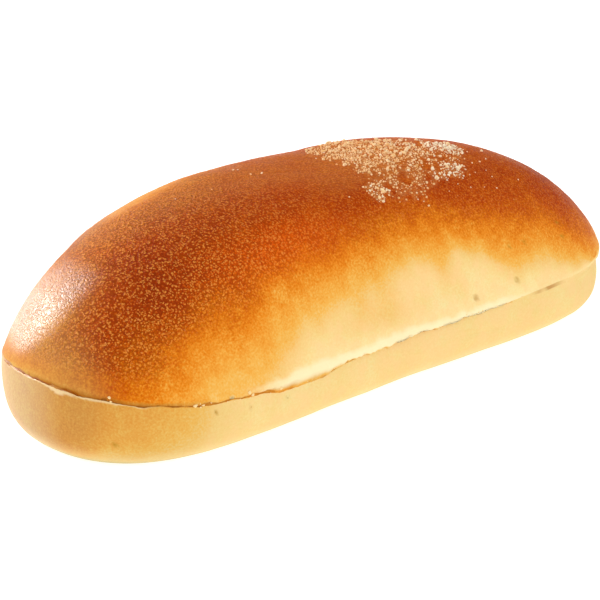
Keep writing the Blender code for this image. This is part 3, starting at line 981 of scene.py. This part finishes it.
# %% The ramp of baked tones
BAKED_TONES = (
    (-0.05, (0.862, 0.690, 0.320)),
    (0.00, (0.850, 0.610, 0.235)),
    (0.05, (0.825, 0.530, 0.170)),
    (0.10, (0.825, 0.440, 0.085)),
    (0.15, (0.815, 0.365, 0.050)),
    (0.25, (0.775, 0.255, 0.016)),
    (0.35, (0.700, 0.178, 0.004)),
    (0.50, (0.575, 0.108, 0.001)),
    (0.60, (0.530, 0.078, 0.000)),
    (0.70, (0.475, 0.056, 0.000)),
    (0.80, (0.415, 0.039, 0.000)),
    (0.95, (0.320, 0.022, 0.000)),
)


def baked_ramp(tree, value):
    """The baked tone for a browning value. A ramp runs from 0 to 1, so the value is moved into that range."""
    first = BAKED_TONES[0][0]
    ramp = add_node(tree, "ShaderNodeValToRGB", {"Fac": combine(tree, "SUBTRACT", value, first, True)})
    elements = ramp.color_ramp.elements
    while len(elements) < len(BAKED_TONES):
        elements.new(0.5)
    for element, (position, tone) in zip(elements, BAKED_TONES):
        element.position = position - first
        element.color = (*tone, 1.0)
    return ramp.outputs["Color"]


print("the ramp has", len(BAKED_TONES), "tones")

# %% [markdown]
# ## The crust's colour
# Mottling shifts the browning first, so the change from one tone to the next is broken and not a smooth
# airbrush. Then thin layers of colour go over each other. Pimples get a painted glint on top and painted shade
# in the gaps between them, the pale base blushes here and there, and some blisters are pale specks, partly
# painted glints. A greyer layer is mostly painted sheen on the dome and dulls parts of the base. The torn lip
# shows pale crumb, the torn rim pale crumb with a painted highlight, the tear's dark line and the pits are
# painted shade, and where flour lies thick, its dust lightens the skin between the grains.

# %% Layer the crust's colours
PIMPLE_MEAN = 0.40
# How strong the painted glint on the pimples' tops is
PIMPLE_GLINT = 0.52
# How strong the painted shade in the gaps between pimples is
GAP_SHADE = 0.46
BLUSH = 0.45
# How pale the blister specks are: partly pale tone, partly painted glint
SPECK_AND_GLINT = 0.5
COLOURS = {
    "glow": (0.92, 0.12, 0.001),
    # painted glint on the pimples' tops
    "pimple_glint": (0.90, 0.35, 0.06),
    # painted shade in the gaps between pimples
    "gap_shade": (0.20, 0.03, 0.002),
    "peach": (0.93, 0.60, 0.29),
    # pale blister specks, partly painted glints
    "speck_and_glint": (0.92, 0.38, 0.12),
    # greyer colour: mostly painted sheen on the dome, and a duller base
    "dull_and_sheen": (0.24, 0.29, 0.12),
    "crumb": (0.92, 0.80, 0.49),
    # painted shade of the tear's dark line
    "crack_shade": (0.36, 0.10, 0.004),
    # painted shade in the pits
    "pit": (0.40, 0.19, 0.012),
    "dust": (0.90, 0.52, 0.18),
}

crust_material, tree, shader = new_material("baked_crust")
brown_value = read_value(tree, "brown")
mottle = place_group(tree, mottling, Patches=0.30, Freckles=0.30, Grain=0.65)
pimple = place_group(tree, pimples, Scale=PIMPLE_SCALE)
blistered = remap(tree, read_value(tree, "blisters"), 0.0, 1.0, 0.28, 1.25)
pimpled = times(tree, remap(tree, brown_value, 0.10, 0.55, 0.06, 1.0), blistered)
mottled = times(tree, mottle, remap(tree, brown_value, 0.0, 0.45, 0.15, 1.0))
blotch = place_group(tree, mottling, Patches=0.8, Freckles=1.2, Grain=0.0)
blush = remap(tree, blotch, -0.25, 0.25, 0.0, BLUSH)
blush = times(tree, blush, remap(tree, brown_value, 0.0, 0.10, 1.0, 0.0))
specked_and_glint = remap(tree, brown_value, 0.2, 0.6, 0.0, SPECK_AND_GLINT)
dusted = times(tree, read_value(tree, "flour"), remap(tree, mottle, -0.1, 0.1, 0.05, 0.40))
# Each layer: how much of it shows and its colour
layers = (
    (times(tree, read_value(tree, "glow"), 0.55), "glow"),
    # a painted glint on each pimple's top
    (times(tree, remap(tree, pimple, 0.38, 0.82, 0.0, PIMPLE_GLINT), pimpled), "pimple_glint"),
    # painted shade in the gaps between pimples
    (times(tree, remap(tree, pimple, 0.0, 0.35, GAP_SHADE, 0.0), pimpled), "gap_shade"),
    (blush, "peach"),
    # pale blister specks, partly painted glints
    (times(tree, remap(tree, read_value(tree, "tone"), 0.85, 1.0), specked_and_glint), "speck_and_glint"),
    # greyer colour: mostly painted sheen on the dome
    (read_value(tree, "dull_and_sheen"), "dull_and_sheen"),
    (times(tree, read_value(tree, "lip"), 0.85), "crumb"),
    # the torn rim: pale crumb with a painted highlight
    (times(tree, read_value(tree, "torn_rim_and_highlight"), 0.5), "crumb"),
    # painted shade: the dark line of the tear
    (read_value(tree, "crack_shade"), "crack_shade"),
    # painted shade in the pits
    (times(tree, read_value(tree, "pit_shade"), 0.8), "pit"),
    (dusted, "dust"),
)
colour = baked_ramp(tree, plus(tree, mottled, brown_value))
for amount, name in layers:
    colour = mix_colours(tree, amount, colour, COLOURS[name])
tree.links.new(colour, shader.inputs["Base Color"])
print("the crust's colour has", len(layers), "layers over the baked tone")

# %% [markdown]
# ## The crust's gloss and fine relief
# Browned skin is smoother than pale skin, and flour makes it matt. A clear coat gives the buttery glaze, as
# strong as the mesh says. Pimples and mottling are too fine for the mesh, so they only bend the light.

# %% Gloss, relief and the crust's place
RELIEF = {"Strength": 0.9, "Distance": 0.20 * MM}
MOTTLE_RELIEF = 0.5
DUST_MATT = 0.4

gloss = plus(tree, remap(tree, brown_value, 0.0, 0.4, 0.55, 0.40), times(tree, dusted, DUST_MATT), True)
tree.links.new(gloss, shader.inputs["Roughness"])
tree.links.new(read_value(tree, "glaze"), shader.inputs["Coat Weight"])
shader.inputs["Coat Roughness"].default_value = 0.36
shader.inputs["Coat IOR"].default_value = 2.1
shader.inputs["Specular IOR Level"].default_value = 0.02
raised = times(tree, combine(tree, "SUBTRACT", pimple, PIMPLE_MEAN), pimpled)
height = plus(tree, raised, times(tree, mottle, MOTTLE_RELIEF))
bumped = add_node(tree, "ShaderNodeBump", {"Height": height, **RELIEF}).outputs["Normal"]
for name in ("Normal", "Coat Normal"):
    tree.links.new(bumped, shader.inputs[name])
crust.data.materials.append(crust_material)
crust.data.shade_smooth()
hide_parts("bun")
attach(crust, "root")
print("crust dressed with", len(tree.nodes), "nodes")

# %% [markdown]
# ## Scattering on the skin
# Flour and blisters both lie on the skin in great numbers, so one Geometry Nodes tree scatters them. First
# it spreads points with a least gap between them, thins them by a named value and gives each a random size
# and tone. A loop would do too, but the tree keeps the gaps and the counts as a few named inputs.

# %% Spread the points
# The number that each input starts from
SCATTER_NUMBERS = {
    "Most per area": 1e6,
    "Gap": 0.5 * MM,
    "Smallest": 0.3 * MM,
    "Largest": 0.6 * MM,
    "Narrowest": 0.6,
    "Flatness": 0.6,
    "Raised": 0.2,
    "Roughening": 0.2,
}


def named(group, name):
    return add_node(group, "GeometryNodeInputNamedAttribute", {"Name": name}, data_type="FLOAT").outputs[0]


def random_value(group, seed, offset, low, high):
    """A random number at each point, with an offset to the seed for each use."""
    values = {2: low, 3: high, "Seed": plus(group, seed, offset)}
    return add_node(group, "FunctionNodeRandomValue", values, data_type="FLOAT").outputs[1]


def spread_points(group, given, amount_name):
    """Points over the skin that store a size and a tone, and how each is turned."""
    values = {"Mesh": given["Skin"], "Distance Min": given["Gap"], "Density Max": given["Most per area"]}
    values.update({"Density Factor": named(group, amount_name), "Seed": given["Seed"]})
    spread = add_node(group, "GeometryNodeDistributePointsOnFaces", values, distribute_method="POISSON")
    spread = spread.outputs
    part = random_value(group, given["Seed"], 1.0, 0.0, 1.0)
    values = {"Value": times(group, part, part), "To Min": given["Smallest"], "To Max": given["Largest"]}
    size = add_node(group, "ShaderNodeMapRange", values).outputs["Result"]
    made = spread["Points"]
    for name, value in (("size", size), ("tone", random_value(group, given["Seed"], 2.0, 0.0, 1.0))):
        values = {"Geometry": made, "Name": name, "Value": value}
        stored = add_node(group, "GeometryNodeStoreNamedAttribute", values, data_type="FLOAT", domain="POINT")
        made = stored.outputs[0]
    offset = scaled(group, spread["Normal"], times(group, size, given["Raised"]))
    lifted = add_node(group, "GeometryNodeSetPosition", {"Geometry": made, "Offset": offset})
    return lifted.outputs[0], spread["Rotation"]


scatter_inputs = [("Skin", GEOMETRY, None), ("Seed", INT, 0)]
scatter_inputs += [(label, FLOAT, number) for label, number in SCATTER_NUMBERS.items()]
print("scattering has", len(scatter_inputs) - 1, "named inputs")

# %% [markdown]
# ## Stones on the points
# At each point the tree puts a small rounded stone, turned and scaled at random, and noise roughens it. The
# inputs are set on a modifier, whose result becomes a plain mesh of its own, and the modifier goes.

# %% Put a stone on each point
STONE_NOISE = {"Scale": 3200.0, "Detail": 1.0}


def scatter_tree(name, amount_name, detail, smooth, material):
    """Stones scattered over a skin, as thick as the value of the given name."""
    group, given, result = new_group(name, "GeometryNodeTree", scatter_inputs, [("Stones", GEOMETRY)])
    given = given.outputs
    spots, rotation = spread_points(group, given, amount_name)
    size = named(group, "size")
    width = times(group, size, random_value(group, given["Seed"], 3.0, given["Narrowest"], 1.0))
    values = {"X": size, "Y": width, "Z": times(group, size, given["Flatness"])}
    form = add_node(group, "ShaderNodeCombineXYZ", values).outputs[0]
    angle = random_value(group, given["Seed"], 4.0, 0.0, 2.0 * math.pi)
    spin = add_node(group, "FunctionNodeAxisAngleToRotation", {"Angle": angle}).outputs[0]
    values = {"Rotation": rotation, "Rotate By": spin}
    rotation = add_node(group, "FunctionNodeRotateRotation", values, rotation_space="LOCAL").outputs[0]
    stone = add_node(group, "GeometryNodeMeshIcoSphere", {"Radius": 0.5, "Subdivisions": detail})
    values = {"Points": spots, "Instance": stone.outputs["Mesh"], "Rotation": rotation, "Scale": form}
    made = add_node(group, "GeometryNodeInstanceOnPoints", values)
    shift = noise_shift(group, STONE_NOISE, times(group, size, given["Roughening"]))
    for kind, values in (
        ("GeometryNodeRealizeInstances", {}),
        ("GeometryNodeSetPosition", {"Offset": shift}),
        ("GeometryNodeSetShadeSmooth", {"Shade Smooth": smooth}),
        ("GeometryNodeSetMaterial", {"Material": material}),
    ):
        made = add_node(group, kind, {"Geometry": made.outputs[0], **values})
    group.links.new(made.outputs[0], result.inputs["Stones"])
    return group


def scatter(name, amount_name, material, inputs, detail=1, smooth=False):
    """A piece of its own made by scattering stones over the crust."""
    group = scatter_tree(name, amount_name, detail, smooth, material)
    piece = new_object(name, crust.data.copy())
    modifier = piece.modifiers.new("scatter", "NODES")
    modifier.node_group = group
    for socket in group.interface.items_tree:
        if socket.in_out == "INPUT" and socket.name in inputs:
            modifier[socket.identifier] = inputs[socket.name]
    graph = bpy.context.evaluated_depsgraph_get()
    mesh = bpy.data.meshes.new_from_object(piece.evaluated_get(graph))
    piece.modifiers.clear()
    piece.data = mesh
    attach(piece, "root")
    print(name, "has", len(mesh.polygons), "faces")
    return piece


print("stones are roughened by noise", round(1000.0 / STONE_NOISE["Scale"], 1), "mm wide")

# %% [markdown]
# ## Blisters
# The near half of the dome is covered with tiny blisters that catch the light. They are made of the same
# skin, so they take the crust's material and read the browning under them. Each is a low dome, and some are a
# little paler than the skin around it: pale specks that are partly painted glints.

# %% Scatter the blisters
blister_inputs = {"Most per area": 3.6e6, "Gap": 0.46 * MM, "Smallest": 0.24 * MM, "Largest": 0.62 * MM}
blister_inputs.update({"Flatness": 0.36, "Raised": -0.10, "Roughening": 0.12, "Seed": 3})
blister_piece = scatter("blisters", "blisters", crust_material, blister_inputs, smooth=True)

# %% [markdown]
# ## Coarse flour
# The grains are small stones of sandy, cream and white flour. Their material reads two stored values: how
# white the flour is where the grain lies, and a random tone of its own.

# %% The flour's material
FLOUR_SANDY = (0.80, 0.43, 0.14)
FLOUR_CREAM = (0.92, 0.63, 0.32)
FLOUR_WHITE = (0.93, 0.80, 0.58)
TONE_SHARE = 0.55
WHITE_SHARE = 0.75
GRAIN_RELIEF = {"Strength": 0.5, "Distance": 0.1 * MM}

flour_material, tree, shader = new_material("coarse_flour")
grain_mottle = place_group(tree, mottling, Patches=0.6, Freckles=0.5, Grain=0.5)
tone_part = times(tree, read_value(tree, "tone"), TONE_SHARE)
paleness = plus(tree, tone_part, times(tree, read_value(tree, "white"), WHITE_SHARE))
paleness = plus(tree, paleness, grain_mottle, True)
sandy = mix_colours(tree, remap(tree, paleness, 0.0, 0.55), FLOUR_SANDY, FLOUR_CREAM)
flour_colour = mix_colours(tree, remap(tree, paleness, 0.5, 1.0), sandy, FLOUR_WHITE)
grain_bump = add_node(tree, "ShaderNodeBump", {"Height": grain_mottle, **GRAIN_RELIEF})
tree.links.new(flour_colour, shader.inputs["Base Color"])
tree.links.new(remap(tree, grain_mottle, -0.3, 0.3, 0.5, 0.8), shader.inputs["Roughness"])
tree.links.new(grain_bump.outputs["Normal"], shader.inputs["Normal"])
shader.inputs["Specular IOR Level"].default_value = 0.3
print("the flour's material has", len(tree.nodes), "nodes")

# %% [markdown]
# ## Stones laid one by one
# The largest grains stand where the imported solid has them, so they are laid one by one and not scattered.
# Each is a 20-sided solid with its corners moved at random, stretched, turned and set on the skin.

# %% Lay stones on the skin
GRAIN_SUNK = 0.15
GRAIN_WIDTH = (0.7, 0.95)
GRAIN_HEIGHT = 0.8
STONE_ROUGHNESS = (0.75, 1.15)
STONE_TONES = (0.4, 1.0)
# A height clear above the roll
ABOVE = 0.1

polygons = [polygon.vertices for polygon in crust.data.polygons]
skin_tree = BVHTree.FromPolygons([vertex.co for vertex in crust.data.vertices], polygons)


def in_metres(rows):
    return [tuple(value * MM for value in row) for row in rows]


def stone():
    """Vertices and faces of a 20-sided solid of radius 1."""
    mesh = bmesh.new()
    bmesh.ops.create_icosphere(mesh, subdivisions=1, radius=1.0)
    corners = np.array([vertex.co for vertex in mesh.verts])
    sides = np.array([[vertex.index for vertex in face.verts] for face in mesh.faces])
    mesh.free()
    return corners, sides


def lay_stones(name, spots, material, seed, height=GRAIN_HEIGHT, raised=GRAIN_SUNK, **values):
    """A piece of small stones. Each spot is a place on the skin, the normal there and a size."""
    corners, sides = stone()
    draw = random.Random(seed)
    vertices, faces, tones = [], [], []
    for spot, normal, size in spots:
        tilt = normal.to_track_quat("Z", "Y").to_matrix()
        spin = Matrix.Rotation(draw.uniform(0.0, 2.0 * math.pi), 3, "Z")
        half = size / 2.0
        form = Matrix.Diagonal((half, half * draw.uniform(*GRAIN_WIDTH), half * height))
        shaped = corners * np.array([[draw.uniform(*STONE_ROUGHNESS)] for _ in corners])
        faces += [tuple(side + len(vertices)) for side in sides]
        vertices += list(shaped @ np.array(tilt @ spin @ form).T + np.array(spot + normal * size * raised))
        tones += [draw.uniform(*STONE_TONES)] * len(corners)
    piece = mesh_object(name, vertices, faces)
    store(piece, "tone", np.array(tones) * values.pop("tone", 1.0))
    for value_name, value in values.items():
        store(piece, value_name, np.full(len(tones), value))
    piece.data.materials.append(material)
    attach(piece, "root")
    print(name, "has", len(spots), "stones")
    return piece


def skin_below(x, y):
    """The skin under a place given before centring: the point, the normal, the face and the distance."""
    above = Vector((x + CENTRING[0], y + CENTRING[1], ABOVE))
    return skin_tree.ray_cast(above, Vector((0.0, 0.0, -1.0)))


print("each stone has", len(stone()[1]), "sides")

# %% [markdown]
# ## The largest grains
# Seven grains that stand out come first, and the rest are drawn at random over one slanted oval, with a gap
# between them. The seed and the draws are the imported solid's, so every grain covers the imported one. A few
# lone grains lie off the patch.

# %% Lay the largest grains
GRAIN_COUNT = 80
GRAIN_PATCH = (23.0 * MM, -3.0 * MM)
GRAIN_PATCH_HALF = (19.0 * MM, 12.0 * MM)
GRAIN_PATCH_TURN = -36.0
GRAIN_SIZE = (0.6 * MM, 0.95 * MM)
GRAIN_GAP = 1.15 * MM
GRAIN_SPREAD = 0.6
# The share of its size that a grain keeps where no other flour lies
LONE_GRAIN = 0.45
# In mm: x, y and size
LARGEST_GRAINS = (
    (42.5, -4.8, 1.5),
    (36.5, -1.5, 1.2),
    (37.0, -9.5, 1.2),
    (7.5, -13.0, 1.2),
    (15.4, -17.2, 1.1),
    (-0.2, -12.2, 0.9),
    (43.1, -14.0, 0.8),
)
LONE_FLOUR = (
    (-10.8, 7.6, 0.55),
    (-10.1, 7.1, 0.45),
    (-10.3, 3.3, 0.50),
    (-8.3, 2.6, 0.50),
    (-7.9, 2.9, 0.35),
    (-29.2, 2.7, 0.40),
    (-21.6, 1.4, 0.30),
)


def grain_places():
    """x, y and size of each packed grain: first the largest, then those scattered over the patch."""
    draw = random.Random(17)
    placed = in_metres(LARGEST_GRAINS)
    while len(placed) < GRAIN_COUNT:
        angle = draw.uniform(0.0, 2.0 * math.pi)
        reach = draw.uniform(0.0, 1.0) ** GRAIN_SPREAD
        along = GRAIN_PATCH_HALF[0] * reach * math.cos(angle)
        across = GRAIN_PATCH_HALF[1] * reach * math.sin(angle)
        from_x, from_y = turned(along, across, -GRAIN_PATCH_TURN)
        x, y = GRAIN_PATCH[0] + from_x, GRAIN_PATCH[1] + from_y
        if all(math.hypot(x - other[0], y - other[1]) > GRAIN_GAP + other[2] / 2.0 for other in placed):
            placed.append((x, y, draw.uniform(*GRAIN_SIZE)))
    return placed


grain_spots = []
for x, y, size in grain_places():
    spot, normal, face, _ = skin_below(x, y)
    lying = flour[list(crust.data.polygons[face].vertices)].mean()
    grain_spots.append((spot, normal, size * min(1.0, LONE_GRAIN + lying)))
lay_stones("largest_flour", grain_spots, flour_material, 23, white=0.4)
lone_spots = [(*skin_below(x, y)[:2], size) for x, y, size in in_metres(LONE_FLOUR)]
lay_stones("lone_flour", lone_spots, flour_material, 29, raised=0.0, white=0.5)

# %% [markdown]
# ## The scattered flour
# Fine sandy grains make the mat between the largest ones, as thick as the stored amount of flour. Coarser
# grains with smoother sides sit in the white clumps. Both come from the scattering tree, with other inputs.

# %% Scatter the flour
fine_inputs = {"Most per area": 6.0e6, "Gap": 0.36 * MM, "Smallest": 0.26 * MM, "Largest": 0.60 * MM}
fine_inputs.update({"Flatness": 0.75, "Raised": 0.12, "Roughening": 0.5, "Seed": 11})
coarse_inputs = {"Most per area": 2.6e6, "Gap": 0.85 * MM, "Smallest": 0.50 * MM, "Largest": 0.95 * MM}
coarse_inputs.update({"Flatness": 0.75, "Raised": 0.2, "Roughening": 0.55, "Seed": 19})
scatter("fine_flour", "flour", flour_material, fine_inputs)
scatter("coarse_flour", "granules", flour_material, coarse_inputs, detail=2)

# %% [markdown]
# ## Crumbs and dark pit floors
# Where the skin tore, small pale crumbs lie along the edges, the largest in little clusters on the near
# half. The floors of the burst bubbles are darker: painted shade in the pits. Both are little stones of crust
# on the skin.

# %% Crumbs at the tear and floors in the pits
# Each crumb that stands out, in mm: a point near it and its size
LARGEST_CRUMBS = (
    (-37.1, -25.9, 9.9, 1.0),
    (-37.9, -25.9, 10.4, 0.8),
    (-49.2, -24.3, 10.9, 1.2),
    (-47.6, -24.7, 10.7, 1.0),
    (-61.8, -17.5, 13.5, 0.8),
    (-62.0, -17.2, 13.75, 0.65),
    (-46.0, -24.8, 10.6, 0.6),
    (-30.5, -26.0, 9.3, 0.7),
)
CRUMB_COUNT = 40
CRUMB_SIZE = (0.18 * MM, 0.40 * MM)
CRUMB_PLACES = (0.53, 0.86)
CRUMB_SPREAD = 0.22 * MM
CRUMB_CLEAR = 1.0 * MM


def nearest(x, y, z):
    """The nearest point of the skin to a place given before centring, and the normal there."""
    return skin_tree.find_nearest(Vector((x + CENTRING[0], y + CENTRING[1], z)))[:2]


draw = random.Random(37)
crumb_spots = [(*nearest(x, y, z), size) for x, y, z, size in in_metres(LARGEST_CRUMBS)]
for _ in range(CRUMB_COUNT):
    along = np.array([draw.uniform(*CRUMB_PLACES)])
    x, y, shape = crease_line(along)
    z = shape["z"] + draw.gauss(0.0, CRUMB_SPREAD)
    crumb_spots.append((*nearest(x[0], bent(x, y)[0] - CRUMB_CLEAR, z[0]), draw.uniform(*CRUMB_SIZE)))
crumbs = lay_stones("crumbs", crumb_spots, crust_material, 41, raised=0.0, tone=0.0, lip=0.6, brown=0.06)
# Dark stones in the pits: painted shade
pit_spots = []
for x, z, half_width, _ in in_metres(PITS):
    before = Vector((x + CENTRING[0], -ABOVE, z))
    pit_spots.append((*skin_tree.ray_cast(before, Vector((0.0, 1.0, 0.0)))[:2], half_width))
pit_look = {"tone": 0.0, "pit_shade": 1.2, "brown": 0.3}
pit_shade_floors = lay_stones("pit_shade_floors", pit_spots, crust_material, 43, 0.3, -0.08, **pit_look)

# %% [markdown]
# ## The table
# The bun stands on a plain white table that fades into a white room. It is a matt sheet with a little glow
# of its own, which keeps the shadow pale without more lamps.

# %% The table
TABLE_SIZE = 6.0
TABLE_LOOK = {
    "Base Color": (0.6, 0.6, 0.6, 1.0),
    "Roughness": 0.9,
    "Specular IOR Level": 0.0,
    "Emission Color": (1.0, 1.0, 1.0, 1.0),
    "Emission Strength": 0.72,
}

corners = [(x * TABLE_SIZE, y * TABLE_SIZE, 0.0) for x, y in ((-1, -1), (1, -1), (1, 1), (-1, 1))]
floor = mesh_object("floor", corners, [(0, 1, 2, 3)])
table_material, tree, shader = new_material("white_table")
for name, value in TABLE_LOOK.items():
    shader.inputs[name].default_value = value
floor.data.materials.append(table_material)
print("the table is", 2.0 * TABLE_SIZE, "m wide")

# %% [markdown]
# ## The room
# Light comes from every side of a white room, brighter from the front than from the back. One smooth step
# across the room's direction from front to back gives its strength.

# %% The room's light
FRONT_STRENGTH = 1.145
BACK_STRENGTH = 0.25
ROOM_FADE = 0.35

world = bpy.data.worlds.new("white_room")
bpy.context.scene.world = world
world.use_nodes = True
tree = world.node_tree
background = tree.nodes["Background"]
way = add_node(tree, "ShaderNodeTexCoord").outputs["Generated"]
backwards = add_node(tree, "ShaderNodeSeparateXYZ", {0: way}).outputs["Y"]
strength = remap(tree, backwards, -ROOM_FADE, ROOM_FADE, FRONT_STRENGTH, BACK_STRENGTH)
tree.links.new(strength, background.inputs["Strength"])
background.inputs["Color"].default_value = (1.0, 1.0, 1.0, 1.0)
bpy.context.scene.view_settings.view_transform = "Standard"
print("the room's light runs from", FRONT_STRENGTH, "in front to", BACK_STRENGTH, "behind")

# %% [markdown]
# ## The lamps
# A large soft window behind the near end gives the broad sheen there, and a wide panel behind the bun lights
# its far skyline. The sheen needs more light than the colours can take, so each lamp comes twice: once
# only for the gloss, and once, weaker, only for the colours.

# %% Hang the lamps
# Each place: azimuth and elevation in degrees, distance, width and height in metres
WINDOW = (-155.0, 25.0, 0.7, 0.34, 0.4)
BACK_PANEL = (172.0, 14.0, 1.2, 1.0, 0.6)


def direction(azimuth, elevation):
    """The direction from the bun at two angles in degrees, with the front at azimuth 0."""
    turn, rise = math.radians(azimuth), math.radians(elevation)
    return Vector((math.sin(turn) * math.cos(rise), -math.cos(turn) * math.cos(rise), math.sin(rise)))


def aim(obj, toward, axis):
    """Turn an object's axis to the given direction."""
    obj.rotation_mode = "QUATERNION"
    obj.rotation_quaternion = toward.to_track_quat(axis, "Y")


def lamp(name, azimuth, elevation, distance, width, height, radiance):
    """A flat lamp that looks at the bun, with the brightness of its face."""
    light = bpy.data.lights.new(name, "AREA")
    light.shape = "RECTANGLE"
    light.size = width
    light.size_y = height
    light.energy = radiance * width * height * math.pi
    toward = direction(azimuth, elevation)
    made = new_object(name, light)
    aim(made, toward, "Z")
    made.location = toward * distance
    return made


lamp("window", *WINDOW, 13.5).visible_diffuse = False
lamp("back_panel", *BACK_PANEL, 2.3).visible_diffuse = False
lamp("window_fill", *WINDOW, 13.0).visible_glossy = False
lamp("back_fill", *BACK_PANEL, 1.6).visible_glossy = False
print("four lamps hang in two places")

# %% [markdown]
# ## The camera
# The photograph was taken with a long lens from the front left, a little above the bun. The camera's
# direction, distance and lens come from matching the bun's outline, so they are given as angles and sizes.

# %% Camera
CAMERA_AZIMUTH = -43.26
CAMERA_ELEVATION = 21.11
CAMERA_DISTANCE = 603.0 * MM
CAMERA_ASIDE = -0.75 * MM
CAMERA_ABOVE = 9.73 * MM
CAMERA_LENS = 191.56
SENSOR_WIDTH = 36.0

back = direction(CAMERA_AZIMUTH, CAMERA_ELEVATION)
azimuth = math.radians(CAMERA_AZIMUTH)
aside = Vector((math.cos(azimuth), math.sin(azimuth), 0.0))
camera = new_object("camera", bpy.data.cameras.new("camera"))
camera.data.lens = CAMERA_LENS
camera.data.sensor_width = SENSOR_WIDTH
aim(camera, -back, "-Z")
shift = aside * CAMERA_ASIDE + back.cross(aside) * CAMERA_ABOVE + Vector((*CENTRING, 0.0))
camera.location = back * CAMERA_DISTANCE + shift
bpy.context.scene.camera = camera
print("the camera stands", round(CAMERA_DISTANCE, 3), "m away")
